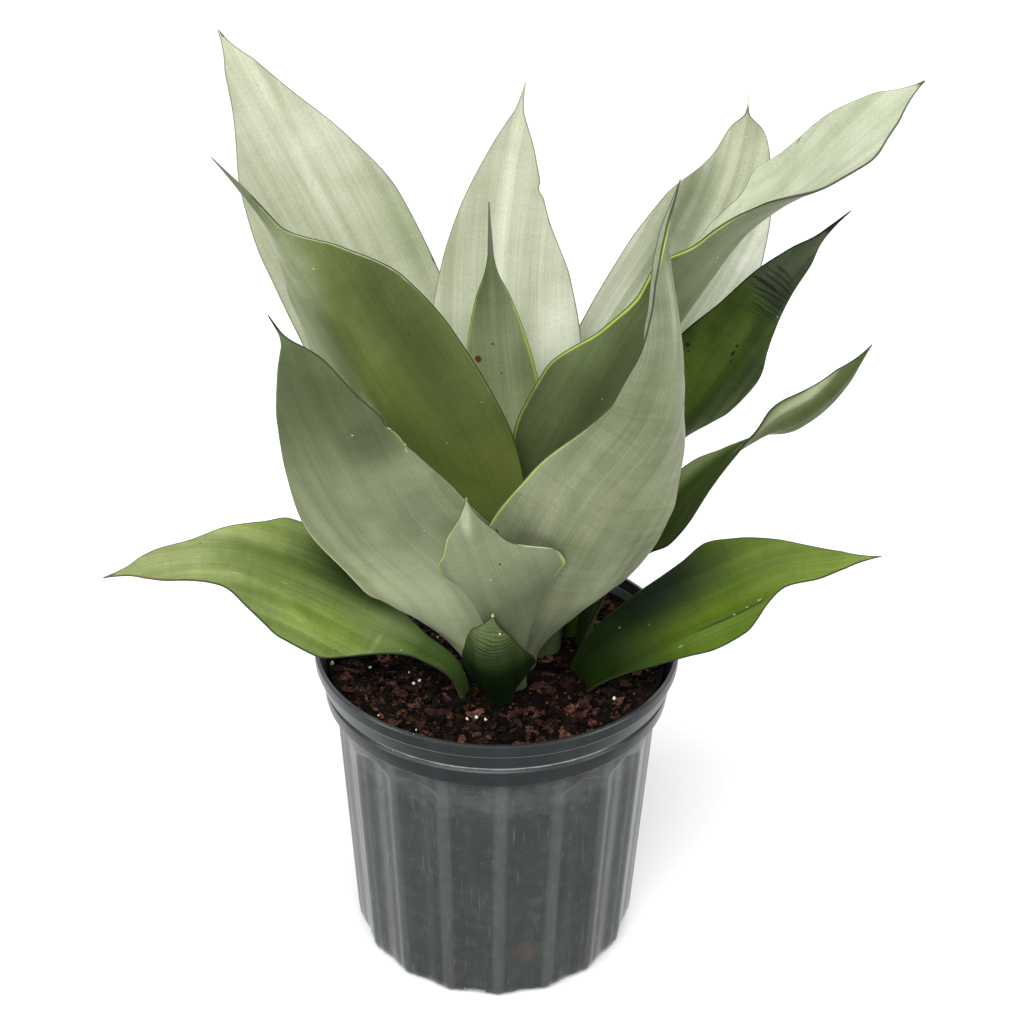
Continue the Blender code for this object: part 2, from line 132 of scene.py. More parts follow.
def add_mesh(name, vertices, faces, material, stands_for):
    """A smooth-shaded mesh from points in millimetres, riding on the body and standing for a solid."""
    mesh = bpy.data.meshes.new(name)
    mesh.from_pydata((np.asarray(vertices) * MM).tolist(), [], faces)
    mesh.validate()
    mesh.shade_smooth()
    mesh.materials.append(material)
    made = put(name, mesh)
    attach(made, BODY)
    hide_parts(stands_for)
    return made


# %% [markdown]
# ## Floor and light
# A product photo on white is lit by large soft boxes. The key light here is very wide and hangs over the
# front, so the back leaves are pale where they face up and the front ones fall off a shade darker. A weaker
# one behind keeps the back from going dull. The floor is a pale paper sweep, and it is lit until it reads as
# white. A white floor would also grey a dark, slightly glossy pot, so it is hidden from reflections, as a
# photographer would do with black card. Below the horizon the pot then mirrors the studio: dark in front and
# bright further back, and that draws the upright gleams beside each ridge.

# %% Paper floor
FLOOR_HALF = 12.0
floor_mesh = bpy.data.meshes.new("floor")
corners = [(x * FLOOR_HALF, y * FLOOR_HALF, 0) for x, y in ((-1, -1), (1, -1), (1, 1), (-1, 1))]
floor_mesh.from_pydata(corners, [], [(0, 1, 2, 3)])
floor = put("floor", floor_mesh)
paper, tree, shader = new_material("white_paper_sweep")
fill(tree, shader, {"Base Color": linear("#F0F0EF"), "Roughness": 0.9, "Specular IOR Level": 0.1})
floor_mesh.materials.append(paper)
floor.visible_glossy = False

# %% Studio round the plant
SKY_STRENGTH = 0.45
# below the horizon: the strength in front and at the back, how far back the dark reaches, a slight turn to
# the left, and how far down the light of the sky blends in
DARK_FRONT = 0.25
BRIGHT_BACK = 1.6
DARK_UNTIL = -0.3
LEAN_LEFT = -0.12
HORIZON_SOFT = -0.15
world = bpy.data.worlds.new("studio")
world.use_nodes = True
room = world.node_tree
way = add(room, "TexCoord").outputs["Generated"]
level = add(room, "VectorMath", {0: way, 1: (1.0, 1.0, 0.0)}, operation="MULTIPLY")
level = add(room, "VectorMath", {0: level}, operation="NORMALIZE")
backward = add(room, "VectorMath", {0: level, 1: (LEAN_LEFT, 1.0, 0.0)}, operation="DOT_PRODUCT")
studio = add(room, "MapRange", {"Value": backward, "From Min": DARK_UNTIL, "From Max": 1.0,
                                "To Min": DARK_FRONT, "To Max": BRIGHT_BACK},
             interpolation_type="SMOOTHSTEP")
height = add(room, "SeparateXYZ", {"Vector": way}).outputs["Z"]
below = add(room, "MapRange", {"Value": height, "From Min": 0.0, "From Max": HORIZON_SOFT})
strength = add(room, "Mix", {"Factor": below, "A": SKY_STRENGTH, "B": studio}, data_type="FLOAT")
fill(room, room.nodes["Background"], {"Color": linear("#FFFFFF"), "Strength": strength})
bpy.context.scene.world = world
bpy.context.scene.view_settings.view_transform = "Standard"

# %% Wide lights and soft boxes
# where the light comes from; its spread is the angle that the source fills in the sky
WIDE_LIGHTS = [
    dict(name="key_over_front", comes_from=(-0.12, -0.5, 0.86), spread_deg=50, strength=3.0),
    dict(name="fill_over_back", comes_from=(0.25, 0.75, 0.75), spread_deg=60, strength=1.0),
]
for light in WIDE_LIGHTS:
    lamp = bpy.data.lights.new(light["name"], "SUN")
    lamp.energy = light["strength"]
    lamp.angle = math.radians(light["spread_deg"])
    holder = put(light["name"], lamp)
    holder.rotation_euler = Vector(light["comes_from"]).to_track_quat("Z", "Y").to_euler()

SOFT_BOXES = dict(side_left=(-1.0, -0.5, 0.45), side_right=(1.0, -0.5, 0.45))
SOFT_BOX_SIZE = (0.3, 0.9)
SOFT_BOX_WATTS = 5
SOFT_BOX_AIM = Vector((0, 0, 0.1))
for name, place in SOFT_BOXES.items():
    lamp = bpy.data.lights.new(name, "AREA")
    lamp.shape = "RECTANGLE"
    lamp.size, lamp.size_y = SOFT_BOX_SIZE
    lamp.energy = SOFT_BOX_WATTS
    holder = put(name, lamp)
    holder.location = place
    holder.rotation_euler = (SOFT_BOX_AIM - Vector(place)).to_track_quat("-Z", "Y").to_euler()
print(len(WIDE_LIGHTS), "wide lights and", len(SOFT_BOXES), "soft boxes")

# %% [markdown]
# ## The form of a leaf
# A leaf of this plant is one thick blade that rises from under the surface, folds into a channel at its foot
# and opens as it climbs. It could be sculpted, but four short runs of given values say it all: where
# the midrib goes, how wide each half is, where the inner face looks and how far the margins bend up. They
# are the same values that the measured solids use, so a leaf keeps its place to the millimetre.

# %% Leaf values
# midrib: points in mm; half: t, then the half width left and right of the midrib in mm;
# faces: t, then where the inner face looks, in degrees round from the front and upward;
# channel: t, then the angle to which the blade has bent up at its left and right margin;
# nicks: t, side (0 left, 1 right), width and depth in mm. Everywhere t is 0 at the foot and 1 at the tip.
LEAVES = {
    "leaf_basal_front": dict(
        midrib=[(2, -35, 124), (2, -38, 147), (-1, -49, 171), (-2, -59, 194), (-1, -64, 209)],
        half=[(0, 7, 7), (0.2, 6, 6), (0.28, 7, 8), (0.38, 15, 14), (0.45, 20, 17), (0.52, 19, 17.5),
              (0.62, 15, 15), (0.8, 9, 10), (1, 1, 1)],
        faces=[(0, 180, 0), (0.5, 175, 15), (1, 170, 20)],
        channel=[(0, 48, 48), (0.5, 50, 50), (1, 30, 30)]),
    "leaf_small_front": dict(
        midrib=[(8, -25, 122), (8, -28, 147), (5, -50, 188), (-2, -64, 221), (-9, -66, 243),
                (-12, -62, 261)],
        half=[(0, 7, 7), (0.3, 6, 7), (0.4, 8, 9), (0.5, 12, 11), (0.6, 21, 12), (0.66, 29, 13),
              (0.69, 33, 14), (0.73, 32, 17), (0.77, 26, 21), (0.8, 20, 21), (0.84, 14, 16), (0.92, 8, 9),
              (1, 1, 1)],
        faces=[(0, 185, 0), (0.5, 190, 10), (1, 180, 10)],
        channel=[(0, 45, 45), (0.5, 24, 62), (1, 25, 25)]),
    "leaf_front_left": dict(
        midrib=[(-8, -15, 124), (-8, -18, 147), (-20, -36, 200), (-47, -50, 240), (-68, -57, 290),
                (-81, -62, 329), (-85, -62, 336)],
        half=[(0, 6, 7), (0.1, 6, 6), (0.2, 13, 17), (0.3, 25, 31), (0.4, 35, 37), (0.55, 36, 36),
              (0.7, 28, 28), (0.8, 20, 19), (0.9, 11, 9), (0.97, 1, 1), (1, 0.8, 0.8)],
        faces=[(0, 150, 0), (0.5, 170, 15), (1, 170, 10)],
        channel=[(0, 45, 45), (0.12, 45, 20), (0.3, 42, 5), (0.5, 30, 16), (1, 12, 12)],
        nicks=[(0.748, 0, 2.2, 1.5), (0.7, 0, 3.0, 0.7)]),
    "leaf_front_right": dict(
        midrib=[(12, -11, 124), (12, -13, 147), (24, -38, 199), (42, -55, 250), (67, -60, 298),
                (69, -56, 316), (67, -50, 332), (63, -38, 360), (67, -30, 380)],
        half=[(0, 8, 6), (0.1, 8, 6), (0.2, 26, 13), (0.3, 39, 27), (0.4, 41, 39), (0.5, 36, 34),
              (0.6, 34, 28), (0.7, 34, 25), (0.76, 29, 23), (0.85, 13.5, 15), (0.93, 4.5, 4), (1, 1, 1)],
        faces=[(0, -160, 0), (0.5, -172, 12), (0.58, -162, 15), (0.7, -132, 15), (0.82, -98, 15),
               (1, -80, 15)],
        channel=[(0, 48, 40), (0.35, 36, 22), (0.5, 34, 32), (0.72, 62, 62), (1, 55, 55)]),
    "leaf_low_left": dict(
        midrib=[(-14, -30, 124), (-15, -30, 147), (-19, -29, 157), (-33, -26, 168), (-55, -18, 176),
                (-90, -20, 197), (-117, -26, 210), (-142, -28, 209), (-156, -32, 207), (-166, -34, 205)],
        half=[(0, 5, 5), (0.12, 5, 5), (0.25, 7, 5.5), (0.36, 17, 11), (0.48, 28, 15), (0.53, 28.5, 21),
              (0.58, 28, 26.5), (0.63, 24.5, 26), (0.68, 20, 20.5), (0.74, 14, 15.5), (0.82, 11, 9),
              (0.88, 9, 7), (0.95, 3, 3), (1, 1, 1)],
        faces=[(0, 95, 10), (0.4, 0, 45), (1, 10, 60)],
        channel=[(0, 50, 50), (0.4, 25, 6), (1, 20, 10)]),
    "leaf_low_right": dict(
        midrib=[(39, -14, 124), (40, -17, 146), (48, -20, 160), (65, -23, 176), (96, -23, 194),
                (121, -21, 206), (147, -20, 210), (164, -20, 213)],
        half=[(0, 8, 8), (0.15, 10, 11), (0.3, 14, 15), (0.45, 17.5, 20.5), (0.52, 20, 22.5),
              (0.6, 23.5, 21), (0.68, 19.5, 13.5), (0.75, 14, 9), (0.82, 9, 8), (0.9, 5, 4), (1, 0.8, 0.8)],
        faces=[(0, -80, 20), (0.4, -5, 45), (1, -10, 60)],
        channel=[(0, 45, 45), (0.4, 20, 20), (1, 15, 15)]),
    "leaf_mid_left": dict(
        midrib=[(-8, -2, 124), (-8, -4, 147), (-19, -16, 214), (-37, -24, 265), (-57, -28, 305),
                (-78, -32, 345), (-94, -34, 371), (-107, -34, 387)],
        half=[(0, 9, 9), (0.1, 14, 12), (0.25, 28, 22), (0.5, 42, 38), (0.65, 41, 30), (0.75, 35, 24),
              (0.82, 20, 14), (0.88, 4, 4), (1, 0.8, 0.8)],
        faces=[(0, 140, 0), (0.5, 165, 15), (1, 150, 30)],
        channel=[(0, 45, 40), (0.5, 30, 30), (1, 40, 40)]),
    "leaf_trough_right": dict(
        midrib=[(24, 0, 124), (24, 0, 147), (30, -4, 215), (50, -4, 272), (82, -2, 327), (98, 0, 350),
                (118, 2, 367), (145, 6, 394), (162, 6, 409)],
        half=[(0, 8, 9), (0.1, 12, 11), (0.2, 17, 15), (0.3, 22, 26), (0.42, 27, 41), (0.48, 28, 41),
              (0.55, 29, 29), (0.6, 30, 25), (0.65, 28, 29), (0.7, 24, 21), (0.75, 19, 21), (0.79, 30, 26),
              (0.88, 22, 25), (0.94, 12, 13), (1, 1, 1)],
        faces=[(0, -150, 0), (0.5, -140, 35), (1, -40, 50)],
        channel=[(0, 48, 48), (0.5, 60, 54), (0.65, 60, 60), (0.74, 55, 44), (0.8, 28, 30), (0.84, 18, 18),
                 (1, 12, 12)]),
    "leaf_young_centre": dict(
        midrib=[(4, 1, 124), (4, 0, 147), (5, -1, 237), (0, 1, 284), (-4, 3, 334), (-5, 4, 359)],
        half=[(0, 8, 8), (0.1, 10, 10), (0.35, 22, 22), (0.6, 19, 19), (0.75, 13, 13), (0.83, 7.5, 7.5),
              (0.88, 2.5, 2.5), (0.91, 1.2, 1.2), (1, 0.8, 0.8)],
        faces=[(0, 180, 0), (1, 180, 10)],
        channel=[(0, 35, 35), (0.5, 35, 35), (1, 25, 25)]),
    "leaf_twisted_right": dict(
        midrib=[(39, 6, 124), (40, 5, 147), (49, 1, 184), (70, -2, 218), (88, 0, 242), (110, 4, 256.5),
                (135, 8, 270), (156, 12, 297)],
        half=[(0, 8, 8), (0.25, 11, 7), (0.35, 13, 6), (0.41, 14, 11), (0.47, 13, 20), (0.53, 11, 23),
              (0.6, 8, 17), (0.65, 5, 10), (0.7, 5, 8), (0.76, 10, 11.5), (0.83, 9.5, 11), (0.9, 6.5, 8),
              (1, 1, 1)],
        faces=[(0, -100, 10), (0.45, -75, 25), (0.62, -80, 30), (0.71, -112, 25), (0.8, -150, 5),
               (1, -150, 5)],
        channel=[(0, 48, 48), (0.5, 35, 12), (0.7, 30, 20), (1, 30, 30)]),
    "leaf_dark_right": dict(
        midrib=[(38, 20, 124), (38, 20, 147), (49, 16, 196), (67, 16, 241), (88, 19, 276), (111, 26, 309),
                (131, 31, 335), (145, 33, 348)],
        half=[(0, 9, 9), (0.3, 11, 12), (0.5, 10, 19), (0.55, 17, 21), (0.6, 27, 22.5), (0.67, 31, 21.5),
              (0.76, 18, 15.5), (0.83, 11.5, 12), (0.89, 8.5, 6.5), (0.94, 2.5, 1.5), (1, 0.8, 0.8)],
        faces=[(0, -120, 0), (0.5, -165, 10), (1, -170, 10)],
        channel=[(0, 45, 45), (0.5, 30, 30), (1, 20, 20)]),
    "leaf_back_centre": dict(
        midrib=[(4, 14, 124), (4, 16, 147), (1, 30, 232), (-1, 39, 287), (-1, 51, 320), (2, 61, 350),
                (7, 70, 380), (9, 73, 389)],
        half=[(0, 9, 9), (0.1, 13, 14), (0.3, 28, 32), (0.55, 32, 38), (0.7, 26, 32), (0.8, 19, 20),
              (0.9, 9, 10), (0.965, 2, 2), (1, 0.8, 0.8)],
        faces=[(0, -5, 0), (0.5, -5, 15), (1, -5, 15)],
        channel=[(0, 35, 35), (0.5, 18, 18), (1, 12, 12)],
        nicks=[(0.842, 1, 2.2, 1.6)]),
    "leaf_back_right": dict(
        midrib=[(18, 25, 124), (19, 27, 147), (38, 38, 234), (64, 52, 283), (87, 64, 319), (101, 75, 351),
                (106, 85, 376), (106, 85, 383)],
        half=[(0, 9, 9), (0.1, 10, 12), (0.3, 18, 20), (0.42, 26, 27), (0.6, 28, 39), (0.7, 29, 34),
              (0.8, 25, 26), (0.9, 11, 15), (0.95, 6, 8), (0.972, 1, 1), (1, 0.8, 0.8)],
        faces=[(0, -25, 0), (0.5, -20, 20), (1, -10, 10)],
        channel=[(0, 40, 40), (0.5, 25, 25), (1, 12, 12)]),
    "leaf_back_left": dict(
        midrib=[(-13, 18, 124), (-13, 20, 147), (-26, 33, 230), (-50, 41, 275), (-72, 50, 322),
                (-91, 57, 357), (-107, 63, 387), (-119, 66, 411)],
        half=[(0, 9, 9), (0.1, 13, 11), (0.2, 22, 16), (0.3, 28, 24), (0.55, 33, 37), (0.7, 32, 36),
              (0.8, 25, 28), (0.9, 11, 14), (1, 1, 1)],
        faces=[(0, 25, 0), (0.5, 15, 20), (1, 15, 15)],
        channel=[(0, 45, 35), (0.5, 25, 14), (1, 12, 12)]),
}

# %% Smooth lines through chosen values
def hermite(knots, values, slopes, t):
    """Cubic through values at the knots with the given slopes."""
    k = np.clip(np.searchsorted(knots, t, side="right") - 1, 0, len(knots) - 2)
    width = (knots[k + 1] - knots[k])[:, None]
    u = ((t - knots[k]) / (knots[k + 1] - knots[k]))[:, None]
    rise = 3 * u**2 - 2 * u**3
    return ((1 - rise) * values[k] + (u**3 - 2 * u**2 + u) * width * slopes[k]
            + rise * values[k + 1] + (u**3 - u**2) * width * slopes[k + 1])


def curve(points, t):
    """Smooth line through the points, with t shared out by distance."""
    points = np.array(points, float)
    length = np.linalg.norm(np.diff(points, axis=0), axis=1)
    knots = np.concatenate([[0], np.cumsum(length)]) / length.sum()
    step = np.diff(knots)[:, None]
    chord = np.diff(points, axis=0) / step
    slopes = np.empty_like(points)
    slopes[1:-1] = (chord[:-1] * step[1:] + chord[1:] * step[:-1]) / (step[1:] + step[:-1])
    slopes[0] = 1.5 * chord[0] - 0.5 * slopes[1]
    slopes[-1] = 1.5 * chord[-1] - 0.5 * slopes[-2]
    return hermite(knots, points, slopes, t)


def run(rows, t):
    """Values of (t, value, ...) rows at t, smooth and never beyond the given values."""
    rows = np.array(rows, float)
    knots = rows[:, 0]
    values = rows[:, 1:]
    step = np.diff(knots)[:, None]
    chord = np.diff(values, axis=0) / step
    slopes = np.zeros_like(values)
    slopes[0] = chord[0]
    slopes[-1] = chord[-1]
    for i in range(1, len(knots) - 1):
        before = 2 * step[i, 0] + step[i - 1, 0]
        after = step[i, 0] + 2 * step[i - 1, 0]
        for k in range(values.shape[1]):
            if chord[i - 1, k] * chord[i, k] > 0:
                slopes[i, k] = (before + after) / (before / chord[i - 1, k] + after / chord[i, k])
    return hermite(knots, values, slopes, np.clip(t, knots[0], knots[-1]))


def unit(vectors):
    return vectors / np.linalg.norm(vectors, axis=-1, keepdims=True)


def heading(degrees_round, degrees_up):
    """Direction that looks so far round from the front (-Y) towards +X, and so far upward."""
    a = math.radians(degrees_round)
    e = math.radians(degrees_up)
    return (math.sin(a) * math.cos(e), -math.cos(a) * math.cos(e), math.sin(e))


# %% [markdown]
# ## The blade as a sheet
# Along the midrib sit 150 cross-sections. In each, the blade is swept outward from the midrib while it bends
# up, which gives the channel. The columns crowd towards the margins, because the eye reads a leaf by its
# edge. The sheet also gets what only a fine mesh can hold: shallow lengthwise pleats, a slow ripple that
# grows towards the margins, nicks where a margin was once torn, and a tip that draws out to a needle.

# %% Sections and thickness of a blade
STATIONS = 150
COLUMN_STEPS = 18
CHANNEL_SHARPNESS = 0.6
SWEEP_STEPS = 40
FINE_STEP = 0.002
LENGTH_POINTS = 200
MIDRIB_THICKNESS = [(0, 3.6), (0.15, 3.2), (0.5, 2.4), (0.85, 1.6), (1, 1.1)]
MARGIN_THICKNESS = [(0, 1.5), (0.3, 1.1), (1, 1.0)]
EDGE_ROUND_MM = 0.6
NEEDLE_MM = 16.0
NEEDLE_SHARE = 0.35
COLUMNS = np.sin(np.linspace(-1, 1, 2 * COLUMN_STEPS + 1) * math.pi / 2)


def needle(t, length):
    """Share of its full width that a blade keeps near the tip, where it draws out to a needle."""
    return NEEDLE_SHARE + (1 - NEEDLE_SHARE) * np.clip((1 - t) * length / NEEDLE_MM, 0, 1)[:, None]


# %% Blade sheet
def blade_points(leaf, t):
    """Middle surface of a blade: points, the way across it, and the mm run along and across it."""
    midrib = curve(leaf["midrib"], t)
    before = curve(leaf["midrib"], np.maximum(t - FINE_STEP, 0))
    after = curve(leaf["midrib"], np.minimum(t + FINE_STEP, 1))
    along = unit(after - before)
    looks = run([(row[0], *heading(row[1], row[2])) for row in leaf["faces"]], t)
    inner = unit(looks - np.sum(looks * along, axis=1, keepdims=True) * along)
    across = np.cross(along, inner)
    chords = np.diff(curve(leaf["midrib"], np.linspace(0, 1, LENGTH_POINTS)), axis=0)
    length = np.linalg.norm(chords, axis=1).sum()
    half = run(leaf["half"], t) * needle(t, length)
    for at, side, width_mm, depth_mm in leaf.get("nicks", ()):
        half[:, side] -= depth_mm * np.exp(-(((t - at) * length / width_mm) ** 2))
    bend = np.radians(run(leaf["channel"], t))
    sweep = np.linspace(0, 1, SWEEP_STEPS + 1)
    points = np.zeros((len(t), len(COLUMNS), 3))
    crosswise = np.zeros_like(points)
    cross_mm = np.zeros(points.shape[:2])
    for j, column in enumerate(COLUMNS):
        side = int(column >= 0)
        sign = 2 * side - 1
        q = abs(column) * sweep
        angle = bend[:, side:side + 1] * q**CHANNEL_SHARPNESS
        step = np.diff(q)
        out, up = (np.sum((part[:, 1:] + part[:, :-1]) / 2 * step, axis=1, keepdims=True)
                   for part in (np.cos(angle), np.sin(angle)))
        edge = angle[:, -1:]
        reach = half[:, side:side + 1]
        points[:, j] = midrib + (sign * across * out + inner * up) * reach
        crosswise[:, j] = across * np.cos(edge) + sign * inner * np.sin(edge)
        cross_mm[:, j] = column * half[:, side]
    rim_mm = np.where(COLUMNS >= 0, half[:, 1:2], half[:, 0:1]) - np.abs(cross_mm)
    return points, crosswise, np.repeat((t * length)[:, None], len(COLUMNS), 1), cross_mm, rim_mm


# %% Leaf mesh
PLEAT_MM = 9.0
PLEAT_HIGH_MM = 0.12
RIPPLE_MM = 46.0
RIPPLE_HIGH_MM = 0.35
# both fade out over these stretches at the foot and at the tip
CALM_FOOT_MM = 60
CALM_TIP_MM = 30


def closed_faces(rows, steps, first=0):
    """Quads between rings of points that follow each other, and a face over each end."""
    faces = []
    for i in range(rows - 1):
        for j in range(steps):
            k = (j + 1) % steps
            faces.append((first + i * steps + j, first + i * steps + k,
                          first + (i + 1) * steps + k, first + (i + 1) * steps + j))
    faces.append(tuple(first + j for j in range(steps - 1, -1, -1)))
    faces.append(tuple(first + (rows - 1) * steps + j for j in range(steps)))
    return faces


def leaf_mesh(leaf, seed):
    """Rings of points round the blade, their faces, and the four values that its skin reads."""
    t = np.union1d([row[0] for row in leaf["half"]], np.linspace(0, 1, STATIONS))
    points, crosswise, run_mm, cross_mm, rim_mm = blade_points(leaf, t)
    before = blade_points(leaf, np.maximum(t - FINE_STEP, 0))[0]
    after = blade_points(leaf, np.minimum(t + FINE_STEP, 1))[0]
    normals = unit(np.cross(crosswise, after - before))
    length = run_mm[-1, 0]
    calm = np.clip(run_mm / CALM_FOOT_MM, 0, 1) * np.clip((length - run_mm) / CALM_TIP_MM, 0, 1)
    pleat = PLEAT_HIGH_MM * np.cos(cross_mm * 2 * math.pi / PLEAT_MM + seed)
    ripple = RIPPLE_HIGH_MM * np.abs(COLUMNS) ** 3 * np.sin(
        run_mm * 2 * math.pi / RIPPLE_MM + seed * 1.7 + np.sign(COLUMNS))
    points = points + normals * ((pleat + ripple) * calm)[:, :, None]
    width = np.abs(COLUMNS)[None, :]
    middle = run(MIDRIB_THICKNESS, t)
    margin = run(MARGIN_THICKNESS, t)
    thickness = (middle + (margin - middle) * width**1.5) * needle(t, length)
    thickness = thickness * np.sqrt(1 - np.clip(1 - rim_mm / EDGE_ROUND_MM, 0, 1) ** 2)
    offset = normals * thickness[:, :, None] / 2
    columns = len(COLUMNS)
    ring_points = np.concatenate([(points + offset), (points - offset)[:, -2:0:-1]], axis=1)
    back = list(range(columns - 2, 0, -1))
    inner_share = np.concatenate([np.ones(columns), np.zeros(len(back))])
    inner_share[[0, columns - 1]] = 0.5
    values = {"run_mm": run_mm, "cross_mm": cross_mm, "rim_mm": rim_mm}
    values = {key: np.concatenate([v, v[:, back]], axis=1).ravel() for key, v in values.items()}
    values["inner_face"] = np.tile(inner_share, len(t))
    return ring_points.reshape(-1, 3), closed_faces(*ring_points.shape[:2]), values


# %% [markdown]
# ## The skin of a leaf
# Snake plant leaves have a tough waxy skin, satin rather than glossy. This kind is silver-green because a
# fine bloom of wax scatters the light. A picture could be wrapped round it, but that would be right from one
# side only, so the colour is laid on in layers, as a painter would: a base for each face, tints for the
# fibres that run lengthwise and the clouds that run across, a dark line on the margin, and inside it a
# yellow-green band, a painted glow of the light that shines through where the flesh is thin. Every layer
# reads millimetres on the blade, so it follows the curves of the leaf.

# %% One layer of colour
def paint(tree, under, where, low, high, hex_colour, strength=1.0, blend="MIX"):
    """A colour laid over another: none where the value is at low, and its full strength at high."""
    share = add(tree, "MapRange", {"Value": where, "From Min": low, "From Max": high, "To Max": strength},
                interpolation_type="SMOOTHSTEP")
    return add(tree, "Mix", {"Factor": share, "A": under, "B": linear(hex_colour)},
               data_type="RGBA", blend_type=blend)


def paint_specks(tree, under, scale, odds, low, high, colours, strength):
    """Small round specks, each the middle of a random cell whose own random colour is above the odds."""
    place = add(tree, "TexCoord").outputs["Object"]
    cells = add(tree, "TexVoronoi", {"Vector": place, "Scale": scale})
    chance = add(tree, "SeparateColor", {"Color": cells.outputs["Color"]})
    for share, hex_colour in colours.items():
        rare = add(tree, "Math", {0: chance.outputs[share], 1: odds}, operation="GREATER_THAN")
        near = add(tree, "Math", {0: 1.0, 1: cells.outputs["Distance"]}, operation="SUBTRACT")
        dot = add(tree, "Math", {0: near, 1: rare}, operation="MULTIPLY")
        under = paint(tree, under, dot, low, high, hex_colour, strength)
    return under


# %% Patterns and limits of the skin
# mm across the blade, mm along it, detail. Real fibres lie 0.4 mm apart and are drawn coarser to show.
GRAINS = dict(fibre=(0.6, 60.0, 4.0), cloud=(20.0, 7.0, 5.0), patch=(34.0, 60.0, 3.0),
              stripe=(6.0, 300.0, 2.0), warp=(15.0, 11.0, 1.0), fine=(0.7, 1.3, 2.0))
# where each pattern starts to show, and where it shows in full
LAYERS = dict(patch=(0.36, 0.66), stripe=(0.38, 0.7), cloud=(0.36, 0.72), fibre=(0.3, 0.72),
              fine=(0.35, 0.7))
# these lie straight, and the others are distorted by so much
STRAIGHT = ("fibre", "stripe", "fine")
WAVY = 0.9
# how far apart in the noise the two faces and any two layers lie, and how far off an oval on another face is
FACE_SHIFT = 7.0
LAYER_SHIFT = 20.0
FAR_FACE = 9.0
LINE_MM = 0.6
# the values at which ovals of tone and light, bars, glows, marks and specks begin to show, and show in full
OVAL_FADE = (1.2, 0.2)
BAR_FADE = (0.75, 1.3)
GLOW_FADE = (1.35, 0.75)
MARK_FADE = (1.5, 1.15)
SPECK_FADE = (0.86, 0.96)
# how strongly the clouds fray the outline of bars, glows and marks, and how strongly the warp bends the bars
BAR_FRAY = 1.2
GLOW_FRAY = 0.5
MARK_FRAY = 0.7
BAR_BEND = 14.0
SPECKS = dict(Red="#3C4128", Green="#DADCCB")
SPECK_SCALE = 260.0
SPECK_ODDS = 0.965
SPECK_STRENGTH = 0.45
WAX_ROUGHNESS = 0.48
WAX_IOR = 1.45


